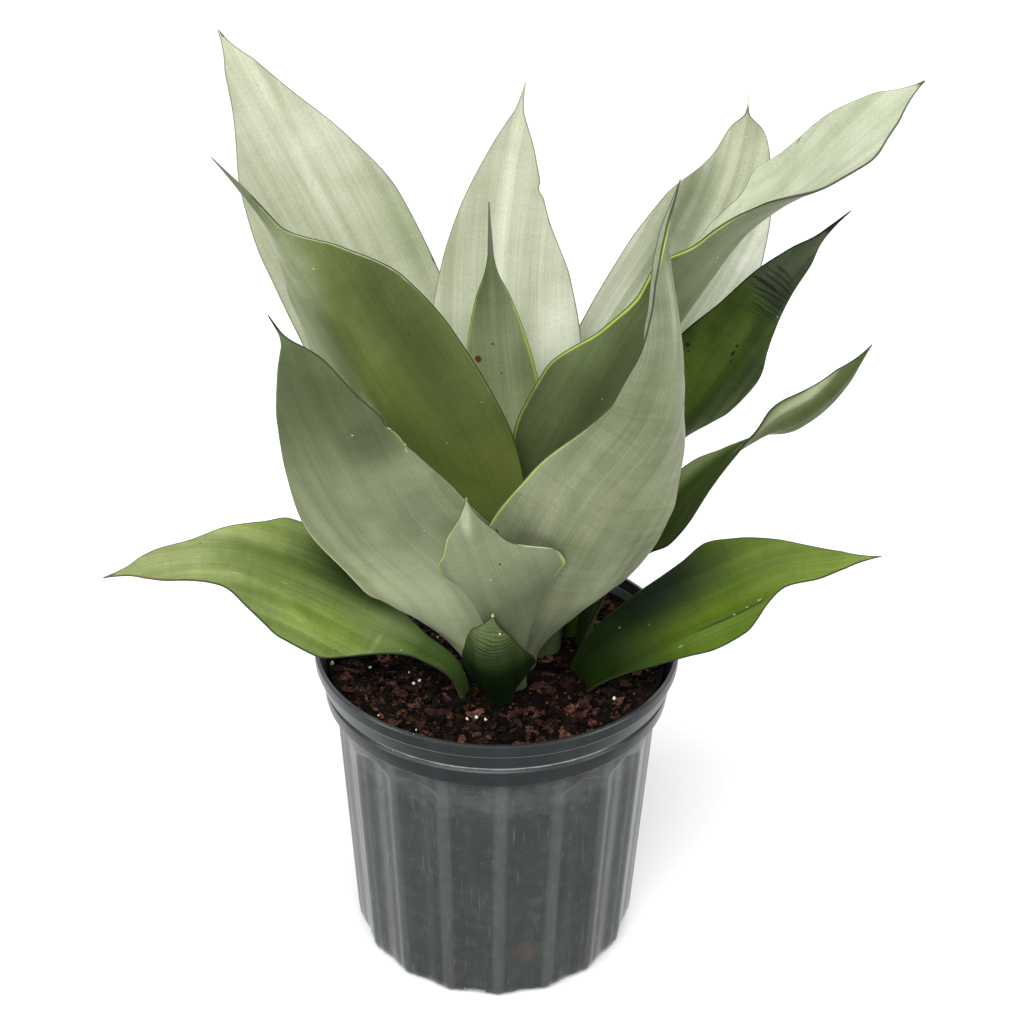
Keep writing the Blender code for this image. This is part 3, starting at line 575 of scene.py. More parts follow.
# %% Leaf skin
def leaf_skin(name, look, seed, length_mm):
    """Waxy skin: two faces, fibres, clouds, a margin line and its painted glow, a spine, and the leaf's own
    scars.
    """
    skin, tree, shader = new_material(name)
    run_mm, cross_mm, rim_mm, inner_face = (add(tree, "Attribute", attribute_name=key).outputs["Fac"]
                                            for key in ("run_mm", "cross_mm", "rim_mm", "inner_face"))
    blade = add(tree, "CombineXYZ", {"X": cross_mm, "Y": run_mm, "Z": inner_face})
    right = add(tree, "Math", {0: cross_mm, 1: 0.0}, operation="GREATER_THAN")
    quarter = add(tree, "Math", {0: inner_face, 1: 2.0, 2: right}, operation="MULTIPLY_ADD")
    margin = add(tree, "CombineXYZ", {"X": rim_mm, "Y": run_mm, "Z": quarter})
    grain = {}
    for number, (layer, (across_mm, along_mm, detail)) in enumerate(GRAINS.items()):
        place = add(tree, "Mapping", {"Vector": blade, "Scale": (1 / across_mm, 1 / along_mm, FACE_SHIFT),
                                      "Location": (seed, seed * 2, number * LAYER_SHIFT)})
        grain[layer] = add(tree, "TexNoise", {"Vector": place, "Scale": 1.0, "Detail": detail,
                                              "Distortion": 0.0 if layer in STRAIGHT else WAVY})

    def away(surface, face, run_at, cross_at, long_mm, wide_mm):
        """How far a spot is from an oval's middle: 1 on its rim, far more on another face or margin."""
        scale = (1 / wide_mm, 1 / long_mm, FAR_FACE)
        shift = (-cross_at * scale[0], -run_at * scale[1], -face * scale[2])
        place = add(tree, "Mapping", {"Vector": surface, "Scale": scale, "Location": shift})
        return add(tree, "VectorMath", {0: place}, operation="LENGTH").outputs["Value"]

    colour = add(tree, "Mix", {"Factor": inner_face, "A": linear(look["outer"]), "B": linear(look["inner"])},
                 data_type="RGBA")
    for from_mm, to_mm, hex_colour, strength in look.get("zones", ()):
        colour = paint(tree, colour, run_mm, from_mm, to_mm, hex_colour, strength)
    # ovals of the leaf's own tone, and on some leaves painted light and shade
    for *oval, hex_colour, strength in look.get("blushes", ()):
        colour = paint(tree, colour, away(blade, *oval), *OVAL_FADE, hex_colour, strength)
    for layer, (low, high) in LAYERS.items():
        hex_colour, strength = look[layer]
        colour = paint(tree, colour, grain[layer], low, high, hex_colour, strength, "MULTIPLY")
    for *oval, spacing_mm, hex_colour, strength in look.get("bars", ()):
        bend = add(tree, "Math", {0: grain["warp"], 1: BAR_BEND}, operation="MULTIPLY")
        phase = add(tree, "Math", {0: run_mm, 1: 2 * math.pi / spacing_mm, 2: bend},
                    operation="MULTIPLY_ADD")
        wave = add(tree, "Math", {0: phase}, operation="SINE")
        spread = away(blade, *oval)
        faded = add(tree, "Math", {0: spread, 1: spread}, operation="MULTIPLY")
        wave = add(tree, "Math", {0: wave, 1: faded}, operation="SUBTRACT")
        wave = add(tree, "Math", {0: grain["cloud"], 1: BAR_FRAY, 2: wave}, operation="MULTIPLY_ADD")
        colour = paint(tree, colour, wave, *BAR_FADE, hex_colour, strength)
    # glows: painted light along a margin, standing for light shining through the thin flesh
    for code, run_at, long_mm, wide_mm, hex_colour, strength in look.get("glows", ()):
        spread = away(margin, code, run_at, 0.0, long_mm, wide_mm)
        rough = add(tree, "Math", {0: grain["cloud"], 1: GLOW_FRAY, 2: spread}, operation="MULTIPLY_ADD")
        colour = paint(tree, colour, rough, *GLOW_FADE, hex_colour, strength)
    line_strength = look.get("line_strength", 0.9)
    colour = paint(tree, colour, rim_mm, LINE_MM, LINE_MM * 0.6, look["line"], line_strength)
    marks = [(blade, *mark) for mark in look.get("marks", ())]
    marks += [(margin, code, run_at, 0.0, *rest) for code, run_at, *rest in look.get("edges", ())]
    for *oval, hex_colour, strength in marks:
        spread = away(*oval)
        rough = add(tree, "Math", {0: grain["cloud"], 1: MARK_FRAY, 2: spread}, operation="MULTIPLY_ADD")
        colour = paint(tree, colour, rough, *MARK_FADE, hex_colour, strength)
    colour = paint_specks(tree, colour, SPECK_SCALE, SPECK_ODDS, *SPECK_FADE, SPECKS, SPECK_STRENGTH)
    spine_hex, spine_mm = look["spine"]
    colour = paint(tree, colour, run_mm, length_mm - spine_mm - 1.5, length_mm - spine_mm + 1.5, spine_hex)
    gleam = add(tree, "MapRange", {"Value": grain["cloud"], "To Min": WAX_ROUGHNESS - 0.06,
                                   "To Max": WAX_ROUGHNESS + 0.08})
    relief = add(tree, "Math", {0: grain["fibre"], 1: grain["cloud"]}, operation="ADD")
    bump = add(tree, "Bump", {"Height": relief, "Strength": 0.3, "Distance": 0.2 * MM})
    fill(tree, shader, {"Base Color": colour, "Roughness": gleam, "Normal": bump, "IOR": WAX_IOR,
                        "Specular IOR Level": look.get("gloss", 0.3),
                        "Sheen Weight": look.get("bloom", 0.06), "Sheen Roughness": 0.4})
    return skin


# %% [markdown]
# ## Fourteen leaves
# The back leaves turn their pale inner faces to the front. The front ones show their darker outer faces.
# Two low leaves are greener: they are older and have lost their bloom. Two at the right are greener and
# darker, partly their own colour and partly painted shade. Each leaf has its own looks. A face is 0 for
# outer and 1 for inner, and a margin is 0 outer left, 1 outer right, 2 inner left and 3 inner right, as seen
# when the inner face looks at you and the tip is up.

# %% Leaf looks
# zones: from mm, to mm, colour, strength. ovals of tone and painted light, and marks: face, mm along, mm
# across, half length, half width, colour, strength. bars: the same with a spacing. glows, edges: margin, mm
# along, half length, width, colour, strength. patch, stripe, cloud, fibre, fine: a tint and its strength.
# spine: colour, length.
TINTS = dict(patch=("#D0D5C4", 0.45), stripe=("#DCDFD2", 0.5), cloud=("#D4D9C8", 0.22),
             fibre=("#D6DAC8", 0.45), fine=("#C9CEBA", 0.3))
SILVER = dict(TINTS, inner="#CACDBB", outer="#9AA28A", line="#5F6650", line_strength=0.7)
GREY_GREEN = dict(TINTS, inner="#C2C7B2", outer="#8A9174", line="#232A18", patch=("#BCC4AC", 0.5))
OLIVE = dict(TINTS, inner="#B4BD96", outer="#69743E", line="#232A18", patch=("#BFC99C", 0.5))
LEAF_GREEN = dict(TINTS, inner="#6B7D40", outer="#8A9470", line="#28331A", patch=("#B4C48E", 0.5),
                  stripe=("#BECC98", 0.6), cloud=("#C4CFA6", 0.3), fibre=("#C0CB9E", 0.5), gloss=0.18,
                  bloom=0.02)
DARK_GREEN = dict(TINTS, inner="#8E9C6C", outer="#435319", line="#0E130A", patch=("#A8B88C", 0.6),
                  stripe=("#BCCB9A", 0.6), cloud=("#B4C29A", 0.4), fibre=("#B9C69E", 0.5), gloss=0.14,
                  bloom=0.0)
LOOKS = {
    "leaf_basal_front": dict(
        DARK_GREEN, outer="#65724C", spine=("#A89A55", 0.4), line="#1C2616",
        zones=[(79, 44, "#16260F", 1.0)],
        bars=[(0, 68, 0, 18, 19, 2.7, "#1C2A18", 0.75)],
        marks=[(0, 88.5, 1.6, 0.6, 0.6, "#EFEFE8", 1.0), (0, 82, 4.4, 0.5, 0.5, "#EFEFE8", 1.0),
               (0, 78, -3.5, 0.4, 0.4, "#EFEFE8", 1.0), (0, 89.6, 0.3, 0.9, 0.9, "#C2B878", 0.9)]),
    "leaf_small_front": dict(
        GREY_GREEN, outer="#7A8166", spine=("#AEB696", 0.1),
        zones=[(120, 96, "#5F6850", 0.7)],
        blushes=[(0, 143, 1.5, 10, 3.0, "#B4BB9E", 0.55), (0, 96, 14, 22, 8, "#8F987C", 0.5)],
        glows=[(1, 128, 17, 1.5, "#93A952", 0.8), (0, 104, 9, 2.4, "#8FA25A", 0.7)],
        marks=[(0, 119, -7, 0.5, 0.5, "#2A3420", 0.9), (0, 109.2, -18.2, 0.55, 0.45, "#56624A", 0.8)],
        edges=[(0, 118, 6, 0.6, "#D9DEC2", 0.6)]),
    "leaf_front_left": dict(
        GREY_GREEN, spine=("#2B2A20", 6),
        zones=[(118, 208, "#525D3A", 0.9), (128, 74, "#B4BD9C", 0.95)],
        blushes=[(0, 172, -15, 15, 13, "#4C5840", 0.65), (0, 138, -17, 24, 11, "#77836A", 0.6),
                 (0, 90, 22, 40, 16, "#BCC3A4", 0.5)],
        glows=[(0, 170, 9, 1.0, "#8FA046", 0.8), (1, 104, 46, 1.8, "#AEB98E", 0.7),
               (1, 205, 34, 1.4, "#4E6A30", 0.8), (0, 120, 40, 1.0, "#8A9C56", 0.6)],
        marks=[(0, 163, -26.2, 1.2, 0.4, "#A8A548", 0.5), (0, 92, 34.6, 0.8, 0.8, "#B98A3A", 0.9)],
        edges=[(0, 174.6, 0.7, 0.5, "#C8CCB4", 0.6), (0, 165.5, 0.7, 0.5, "#C8CCB4", 0.5)]),
    "leaf_front_right": dict(
        GREY_GREEN, outer="#888E73", spine=("#5A6440", 2), fibre=("#CDD2BE", 0.55), cloud=("#C8CCBC", 0.35),
        zones=[(175, 262, "#6E765F", 0.65)],
        blushes=[(0, 95, 30, 16, 10, "#717D5C", 0.55), (0, 236, 6, 26, 2.4, "#AEB39C", 0.5),
                 (0, 80, -20, 34, 12, "#A3AA8E", 0.5), (0, 150, 14, 40, 8, "#9BA188", 0.4)],
        glows=[(1, 130, 55, 1.5, "#8FA84C", 0.85), (1, 258, 12, 1.6, "#9DB53E", 0.85),
               (0, 100, 60, 1.2, "#A3AE80", 0.5)],
        marks=[(0, 112, 35, 1.8, 0.9, "#2E3A22", 0.8)]),
    "leaf_low_left": dict(
        LEAF_GREEN, inner="#7E8E55", spine=("#5E463A", 5),
        # the dark foot and the near-black oval 84 mm up are partly painted shade under the leaves in front
        zones=[(120, 168, "#8E9668", 0.9), (76, 46, "#3A5220", 0.85)],
        blushes=[(1, 138, 18, 30, 9, "#AFB880", 0.9), (1, 98, -13, 30, 11, "#95A558", 0.85),
                 (1, 84, 15, 44, 14, "#1A2D0A", 1.0), (1, 69.5, -10, 1.6, 7, "#A4AA90", 0.6),
                 (1, 150, -8, 30, 4, "#A9B07C", 0.5)],
        marks=[(1, 142, -5.7, 2.4, 0.25, "#B4BD8C", 0.4), (1, 120, -2.3, 1.8, 0.25, "#A9B47E", 0.35),
               (1, 108, -16.3, 1.8, 0.3, "#A9B47E", 0.35), (1, 158, 7, 0.5, 0.4, "#3C4A20", 0.8),
               (1, 86, -21, 0.6, 0.5, "#3C4A20", 0.9)],
        edges=[(2, 176, 12, 0.7, "#6B4A3C", 0.8), (3, 176, 14, 0.7, "#6B4A3C", 0.8)]),
    "leaf_low_right": dict(
        LEAF_GREEN, inner="#4F640C", spine=("#5A4636", 4), bloom=0.0, gloss=0.14, patch=("#B4C47C", 0.5),
        # the dark foot and the near-black oval 70 mm up are partly painted shadow under the leaf above
        zones=[(100, 146, "#78883C", 0.9), (94, 38, "#152606", 0.92)],
        blushes=[(1, 70, -15, 42, 19, "#0F1F08", 1.0), (1, 92, 15, 26, 6, "#5E7330", 0.6)],
        marks=[(1, 99, 11.4, 17, 0.5, "#24340F", 0.85), (1, 113, 10.2, 0.9, 0.2, "#C0C8AE", 0.6),
               (1, 107, 10.6, 0.6, 0.2, "#C0C8AE", 0.6), (1, 101, 11.2, 0.6, 0.2, "#C0C8AE", 0.6),
               (1, 75, 14.6, 1.2, 0.4, "#8E9A70", 0.5)]),
    "leaf_mid_left": dict(
        OLIVE, spine=("#5E6650", 20),
        zones=[(236, 266, "#66705A", 0.7), (160, 120, "#818E45", 0.7)],
        blushes=[(0, 204, -27, 46, 18, "#4B5629", 0.85), (0, 238, 2, 26, 13, "#949B7C", 0.8),
                 (0, 170, -6, 34, 14, "#73803F", 0.5), (0, 204, 17, 46, 11, "#808A64", 0.75),
                 (0, 150, 16, 30, 4, "#8C9664", 0.4), (0, 163, 7, 15, 4, "#A0A290", 0.6),
                 (0, 110, -28, 50, 10, "#76823F", 0.5)],
        glows=[(0, 235, 40, 1.2, "#B4BE92", 0.6), (0, 170, 50, 1.0, "#7F9240", 0.5)]),
    "leaf_trough_right": dict(
        # the dark outer face is painted shade
        GREY_GREEN, outer="#5C6643", spine=("#3E4434", 3), line_strength=0.8,
        zones=[(120, 60, "#59663C", 0.5)],
        blushes=[(0, 244, 12, 52, 18, "#7D846A", 0.8), (0, 155, 30, 46, 12, "#7C8A60", 0.7)],
        glows=[(1, 200, 70, 1.6, "#A6BE48", 0.9), (1, 120, 50, 1.6, "#8FA84A", 0.85)],
        marks=[(1, 283, -23.6, 1.8, 0.35, "#3A4030", 0.7)],
        # the pale strip on margin 3 is a painted highlight
        edges=[(2, 291, 2.4, 0.7, "#23261C", 0.9), (3, 232, 30, 2.2, "#EEF0E6", 0.95)]),
    "leaf_young_centre": dict(
        GREY_GREEN, outer="#8F9A79", spine=("#5C6250", 22),
        zones=[(168, 206, "#59623F", 0.85), (168, 128, "#BEC79E", 0.9)],
        blushes=[(0, 186, 0, 30, 2, "#8F9778", 0.4)],
        glows=[(0, 150, 60, 1.9, "#A2BC46", 0.95), (1, 160, 52, 1.7, "#9AB44C", 0.9)],
        marks=[(0, 169, 8.2, 1.6, 1.6, "#5F2416", 0.95), (0, 176, 1.4, 0.5, 0.5, "#2F3322", 0.9),
               (0, 163, -1, 0.4, 0.4, "#2F3322", 0.8)]),
    "leaf_twisted_right": dict(
        # the dark inner face and its darker lower stretch are partly painted shade
        LEAF_GREEN, inner="#44532A", outer="#5B6542", line="#1A2012", line_strength=0.7,
        spine=("#4A4F30", 3),
        zones=[(118, 60, "#2B3A18", 0.7)],
        blushes=[(1, 134, -7, 30, 7, "#8A936E", 0.9), (0, 190, 8, 34, 3, "#B2B89C", 0.75),
                 (0, 150, -3, 16, 6, "#7E8868", 0.7)]),
    "leaf_dark_right": dict(
        # the dark outer face is partly painted shade, where the leaf faces down
        DARK_GREEN, outer="#46581A", spine=("#24221E", 13), fibre=("#B9C694", 0.5),
        zones=[(198, 220, "#525A4A", 0.8)],
        blushes=[(0, 168, 2, 32, 12, "#56691F", 0.7), (0, 212, -2, 9, 14, "#2E352B", 0.5)],
        bars=[(0, 210, -1, 14, 18, 2.4, "#10170E", 0.8), (0, 204, -5, 9, 13, 1.7, "#10170E", 0.7)],
        marks=[(0, 179.5, -2.5, 1.5, 0.8, "#10160C", 0.95), (0, 183, -2, 0.9, 0.7, "#10160C", 0.9),
               (0, 176, -4.2, 0.6, 0.8, "#10160C", 0.9), (0, 172, 16.4, 0.9, 1.2, "#141B10", 0.9),
               (0, 170, 14.6, 0.5, 0.5, "#141B10", 0.9)]),
    "leaf_back_centre": dict(
        SILVER, inner="#BDC0AC", spine=("#A09478", 5),
        # the bright oval 160 mm up is painted light
        blushes=[(1, 160, 27, 30, 15, "#E6E8DC", 0.95), (1, 215, 0, 70, 4, "#DDDFD0", 0.5),
                 (1, 238, 14, 12, 5, "#B9BFA8", 0.5)]),
    "leaf_back_right": dict(
        SILVER, inner="#C3C6B2", spine=("#CFC49A", 6), stripe=("#C6CBB8", 0.85),
        # the dark oval 226 mm up is painted shade; the pale ovals lower down and on the right are painted
        # light
        blushes=[(1, 226, -13, 42, 13, "#7F866E", 0.85), (1, 168, -20, 28, 12, "#DADCD0", 0.85),
                 (1, 212, 24, 34, 16, "#F2F4EA", 1.0)],
        edges=[(2, 278, 8, 0.6, "#2C3A34", 0.8), (3, 278, 8, 0.6, "#2C3A34", 0.8)]),
    "leaf_back_left": dict(
        SILVER, inner="#B7BAA5", spine=("#8F9670", 0.5), stripe=("#D9DCCD", 0.6),
        zones=[(282, 304, "#D2CDB0", 0.4)],
        blushes=[(1, 208, 31, 22, 9, "#9FAA8A", 0.65), (1, 165, 34, 30, 8, "#B2B9A0", 0.5),
                 (1, 268, 4, 50, 26, "#CBCDBC", 0.8)],
        marks=[(1, 312.6, 0.7, 1.5, 0.5, "#1C1E14", 0.95), (1, 241.6, 5, 1.2, 0.5, "#A3A78C", 0.6),
               (1, 222, -10, 0.9, 0.5, "#A0A488", 0.6)],
        edges=[(3, 191, 2.4, 0.8, "#3A4A2A", 0.9), (3, 181, 3, 0.8, "#3A4A2A", 0.9)]),
}

# %% Make the leaves
leaf_trees = []
for number, (name, leaf) in enumerate(LEAVES.items()):
    vertices, faces, values = leaf_mesh(leaf, number)
    length_mm = float(values["run_mm"].max())
    skin = leaf_skin("waxy_skin_" + name, LOOKS[name], number * 3.1, length_mm)
    piece = add_mesh(name + "_blade", vertices, faces, skin, name)
    for key, column in values.items():
        piece.data.attributes.new(key, "FLOAT", "POINT").data.foreach_set("value", column.astype(np.float32))
    leaf_trees.append(BVHTree.FromPolygons([tuple(v) for v in vertices], faces))
    print(name, "length", round(length_mm), "mm,", len(faces), "faces")

# %% [markdown]
# ## The pot
# A nursery pot is injection-moulded polypropylene, thin and ribbed so that little plastic makes a stiff
# wall. It could be turned as a plain lathe shape, but the body has 18 shallow flutes that end in soft
# arches under the bead, so each turn of points is pulled in by a depth that depends on the heading.

# %% Pot values
# height and radius in mm, up the outside and down the inside
POT_OUTSIDE = [(0, 64.4), (2, 66.0), (5, 66.9), (11, 67.5), (121, 73.5), (125, 73.8), (129, 74.2),
               (130.5, 75.4), (132, 78.2), (139.5, 79.0), (140.6, 77.8), (142, 77.8), (142.8, 79.9),
               (149.5, 81.2), (150.5, 82.4), (155.3, 82.5), (156, 82.1)]
POT_INSIDE = [(156, 80.8), (150, 79.8), (143.5, 76.0), (134, 75.0), (129, 70.4), (10, 64.0), (3.2, 63.4),
              (2.4, 62.4)]
LONGEST_CORNER_MM = 1.2
FLUTES = 18
FIRST_RIDGE_DEG = 2.5
RIDGE_HALF_DEG = 3.5
FLUTE_DEPTH = 1.9
FLANK_DEPTH = 0.9
FLUTE_TOP = 125.0
ARCH_RISE = 5.0
ARCH_SOFT = 3.0
TURN_STEPS = FLUTES * 20


# %% Corners, steps and flutes
def smooth(x):
    """A soft step: 0 up to 0, 1 from 1 on, and an even curve between."""
    x = np.clip(x, 0, 1)
    return x * x * (3 - 2 * x)


def softened(profile, share=0.3):
    """The same line of (height, radius) with each corner rounded by a short curve."""
    line = np.array(profile, float)
    out = [line[0]]
    for before, corner, after in zip(line, line[1:], line[2:]):
        reach = share * min(np.linalg.norm(before - corner), np.linalg.norm(after - corner))
        reach = min(reach, LONGEST_CORNER_MM)
        start = corner + unit(before - corner) * reach
        end = corner + unit(after - corner) * reach
        for u in (0, 0.33, 0.67, 1):
            out.append((1 - u) ** 2 * start + 2 * u * (1 - u) * corner + u**2 * end)
    out.append(line[-1])
    return np.array(out)


def with_steps(line, longest):
    """The line with its long runs divided."""
    out = [line[0]]
    for a, b in zip(line, line[1:]):
        count = max(1, int(np.ceil(np.linalg.norm(b - a) / longest)))
        out += [a + (b - a) * (i + 1) / count for i in range(count)]
    return np.array(out)


def flute_depth(angle_deg, height):
    """How far the wall is pulled in at a heading and a height."""
    half = 180 / FLUTES
    offset = np.abs((angle_deg - FIRST_RIDGE_DEG + half) % (2 * half) - half)
    flank = smooth(offset / RIDGE_HALF_DEG)
    valley = smooth((offset - RIDGE_HALF_DEG) / (half - RIDGE_HALF_DEG))
    depth = FLANK_DEPTH * flank + (FLUTE_DEPTH - FLANK_DEPTH) * valley
    top = FLUTE_TOP - ARCH_RISE * (1 - offset / half) ** 2
    return depth * smooth((top - height) / ARCH_SOFT)


# %% Pot form
outside = with_steps(softened(POT_OUTSIDE), longest=6.0)
# a row every millimetre where the arches are
heights = np.union1d(outside[:, 0], np.arange(FLUTE_TOP - 10, FLUTE_TOP + 2))
outside = np.stack([heights, np.interp(heights, outside[:, 0], outside[:, 1])], axis=1)
profile = np.concatenate([outside, with_steps(softened(POT_INSIDE), longest=12.0)])
angles = np.arange(TURN_STEPS) * 360 / TURN_STEPS
a = np.radians(angles)
turns = []
for row, (height, radius) in enumerate(profile):
    radii = radius - (flute_depth(angles, height) if row < len(outside) else 0 * angles)
    turns.append(np.stack([radii * np.sin(a), -radii * np.cos(a), np.full(len(a), height)], axis=1))
pot_faces = closed_faces(len(turns), TURN_STEPS)
print("pot", len(pot_faces), "faces")

# %% [markdown]
# ## Polypropylene
# The mould leaves the plastic semi-matte with a faint grain. On a used pot the eye also finds pale dust,
# fine upright scuffs where pots were pulled out of each other, and greenish and purplish streaks where water
# ran down. The pale upright bands on the ridges and the thin pale lines on the steps of the rim are painted
# highlights. The rim is darker from 128 mm up, and a brown stain sits low on the front. Height and heading
# round the pot, both worked out from the place in mm, say where each of these lies.

# %% Pot plastic
# pattern: how often it repeats in a metre across and upward, detail, roughness. So in mm the haze is 36
# wide, the mottle 5, the scuffs 1 by 29, the scratches 8 by 0.5 and the streaks 11 by 150. The grain of the
# mould is finer than the 0.6 that it is drawn at to show.
PATTERNS = dict(haze=(28, 28, 5.0, 0.5), mottle=(190, 190, 4.0, 0.65), grain=(1800, 1800, 2.0, 0.5),
                scuffs=(900, 34, 3.0, 0.5), scratches=(130, 1900, 2.0, 0.5),
                streaks=(1000 / 11, 1000 / 150, 3.0, 0.5))
# Dust under the rim, then painted highlights along the groove, the step and the lower edge of the bead:
# height, how much the mottle frays it, how far from that height it ends and is full, colour, strength.
BANDS_MM = [(120.0, -30.0, -2.0, -14.0, "#85898A", 0.1), (141.2, 0.9, 1.2, 0.45, "#B4B8B9", 0.85),
            (150.2, 0.2, 0.6, 0.1, "#B4B8B9", 0.4), (131.0, 0.3, 0.75, 0.15, "#B4B8B9", 0.4)]
RIM_FROM_MM = 128.0
# middle and half size of the stain, across and upward
STAIN_X, STAIN_Z = 16, 28
STAIN_WIDE, STAIN_HIGH = 13, 9
STAIN_FRAY = 0.9
plastic, tree, shader = new_material("moulded_polypropylene")
place = add(tree, "TexCoord").outputs["Object"]
place_mm = add(tree, "VectorMath", {0: place, 1: (1000.0, 1000.0, 1000.0)}, operation="MULTIPLY")
parts_mm = add(tree, "SeparateXYZ", {"Vector": place_mm})
height_mm = parts_mm.outputs["Z"]
forward = add(tree, "Math", {0: parts_mm.outputs["Y"], 1: -1.0}, operation="MULTIPLY")
turned = add(tree, "Math", {0: parts_mm.outputs["X"], 1: forward}, operation="ARCTAN2")
ridge = add(tree, "Math", {0: turned, 1: FLUTES, 2: -math.radians(FIRST_RIDGE_DEG) * FLUTES},
            operation="MULTIPLY_ADD")
ridge = add(tree, "Math", {0: ridge}, operation="COSINE")
noises = {}
for pattern, (across, upward, detail, rough) in PATTERNS.items():
    stretched = add(tree, "Mapping", {"Vector": place, "Scale": (across, across, upward)})
    noises[pattern] = add(tree, "TexNoise", {"Vector": stretched, "Scale": 1.0, "Detail": detail,
                                             "Roughness": rough})
haze, mottle = noises["haze"], noises["mottle"]
colour = add(tree, "Mix", {"Factor": haze, "A": linear("#2A2D2E"), "B": linear("#3C4041")}, data_type="RGBA")
colour = paint(tree, colour, noises["streaks"], 0.5, 0.68, "#36423A", 0.55)
colour = paint(tree, colour, noises["streaks"], 0.46, 0.3, "#45393F", 0.5)
colour = paint(tree, colour, mottle, 0.45, 0.75, "#6B6F6F", 0.14)
colour = paint(tree, colour, noises["scuffs"], 0.6, 0.8, "#7C8182", 0.4)
# pale upright bands on the ridges: painted highlights
colour = paint(tree, colour, ridge, 0.55, 1.0, "#6E7374", 0.2)
# darker from RIM_FROM_MM up to the lip
colour = paint(tree, colour, height_mm, RIM_FROM_MM, RIM_FROM_MM + 4, "#1D2224", 0.85)
colour = paint(tree, colour, noises["scratches"], 0.64, 0.8, "#6A6F6F", 0.3)
# dust under the rim, then the painted highlight lines on the steps of the rim
for middle_mm, fray, end, full, hex_colour, strength in BANDS_MM:
    gap = add(tree, "Math", {0: height_mm, 1: middle_mm}, operation="SUBTRACT")
    gap = add(tree, "Math", {0: gap}, operation="ABSOLUTE")
    gap = add(tree, "Math", {0: mottle, 1: fray, 2: gap}, operation="MULTIPLY_ADD")
    colour = paint(tree, colour, gap, end, full, hex_colour, strength)
stain = add(tree, "Mapping", {"Vector": place_mm, "Scale": (1 / STAIN_WIDE, 0, 1 / STAIN_HIGH),
                              "Location": (-STAIN_X / STAIN_WIDE, 0, -STAIN_Z / STAIN_HIGH)})
stain = add(tree, "VectorMath", {0: stain}, operation="LENGTH").outputs["Value"]
stain = add(tree, "Math", {0: mottle, 1: STAIN_FRAY, 2: stain}, operation="MULTIPLY_ADD")
colour = paint(tree, colour, stain, 1.4, 0.5, "#5C4C40", 0.3)
colour = paint_specks(tree, colour, scale=420.0, odds=0.94, low=0.84, high=0.94,
                      colours=dict(Red="#9A9C98"), strength=0.6)
roughness = add(tree, "MapRange", {"Value": haze, "To Min": 0.3, "To Max": 0.44})
bump = add(tree, "Bump", {"Height": noises["grain"], "Strength": 0.25, "Distance": 0.08 * MM})
fill(tree, shader, {"Base Color": colour, "Roughness": roughness, "Normal": bump, "IOR": 1.49})

# %% Pot with its drain slots
SLOT_HEADINGS_DEG = [-7, 65, 137, 209, 281]
SLOT_HALF_WIDTH = 5.0
# how far from the axis each cutter starts and ends, and its bottom and top, in mm
SLOT_REACH = (54, 72)
SLOT_LEVELS = (-2.0, 4.0)
pot = add_mesh("nursery_pot", np.concatenate(turns), pot_faces, plastic, "pot")
for degrees_round in SLOT_HEADINGS_DEG:
    outward = np.array(heading(degrees_round, 0))
    sideways = np.array(heading(degrees_round + 90, 0))
    block = [outward * SLOT_REACH[far] + sideways * side * SLOT_HALF_WIDTH + np.array([0, 0, height])
             for height in SLOT_LEVELS for far, side in ((0, -1), (1, -1), (1, 1), (0, 1))]
    cutter = put("slot_cutter", bpy.data.meshes.new("slot_cutter"))
    cutter.data.from_pydata((np.array(block) * MM).tolist(), [], closed_faces(2, 4))
    step = pot.modifiers.new("slot", "BOOLEAN")
    step.operation = "DIFFERENCE"
    step.solver = "EXACT"
    step.object = cutter
    with bpy.context.temp_override(object=pot, active_object=pot, selected_objects=[pot]):
        bpy.ops.object.modifier_apply(modifier=step.name)
    bpy.data.objects.remove(cutter)
pot.data.shade_smooth()
pot.data.set_sharp_from_angle(angle=math.radians(50))
print("pot after its drain slots", len(pot.data.polygons), "faces")

# %% [markdown]
# ## The potting mix
# The mix is composted bark, peat and perlite. A bumpy ground surface carries it, and the loose pieces on
# top are real geometry, because their shadows are what makes the mix look deep.

# %% Ground of the mix
MIX_LEVEL = 147.0
SETTLED_MM = 0.6
MIX_RADIUS = 76.6
# the mix climbs the wall a little: from this radius, over this width, by this height
CLIMB_FROM = 66
CLIMB_WIDTH = 11
CLIMB_MM = 1.2
# height and radius of the mix against the inside of the pot, from the bottom up
SEAT = [(2.8, 62.2), (3.4, 63.0), (10, 63.7), (128.9, 70.0), (133.8, 74.6), (143.2, 75.6)]
GROUND_RINGS = 56
GROUND_STEPS = 220


def lumps(x, y, wide_mm, high_mm, cut):
    """Soft random lumps of a width and height; each cut through the noise is another pattern."""
    return noise.noise(Vector((x / wide_mm, y / wide_mm, cut))) * high_mm


def ground_height(x, y):
    """Height of the mix in mm: low swells, crumbs, and a slight rise against the wall."""
    swell = lumps(x, y, 26, 2.0, 1.3)
    crumb = lumps(x, y, 5.5, 1.1, 4.1) + lumps(x, y, 2.2, 0.7, 9.2)
    climb = smooth((math.hypot(x, y) - CLIMB_FROM) / CLIMB_WIDTH) * CLIMB_MM
    return MIX_LEVEL - SETTLED_MM + swell + crumb + float(climb)


rings = SEAT + [(None, MIX_RADIUS * (1 - i / GROUND_RINGS)) for i in range(GROUND_RINGS)]
ground = []
for height, radius in rings:
    for j in range(GROUND_STEPS):
        a = 2 * math.pi * j / GROUND_STEPS
        x, y = radius * math.sin(a), -radius * math.cos(a)
        ground.append((x, y, ground_height(x, y) if height is None else height))
print("ground", len(ground), "points")
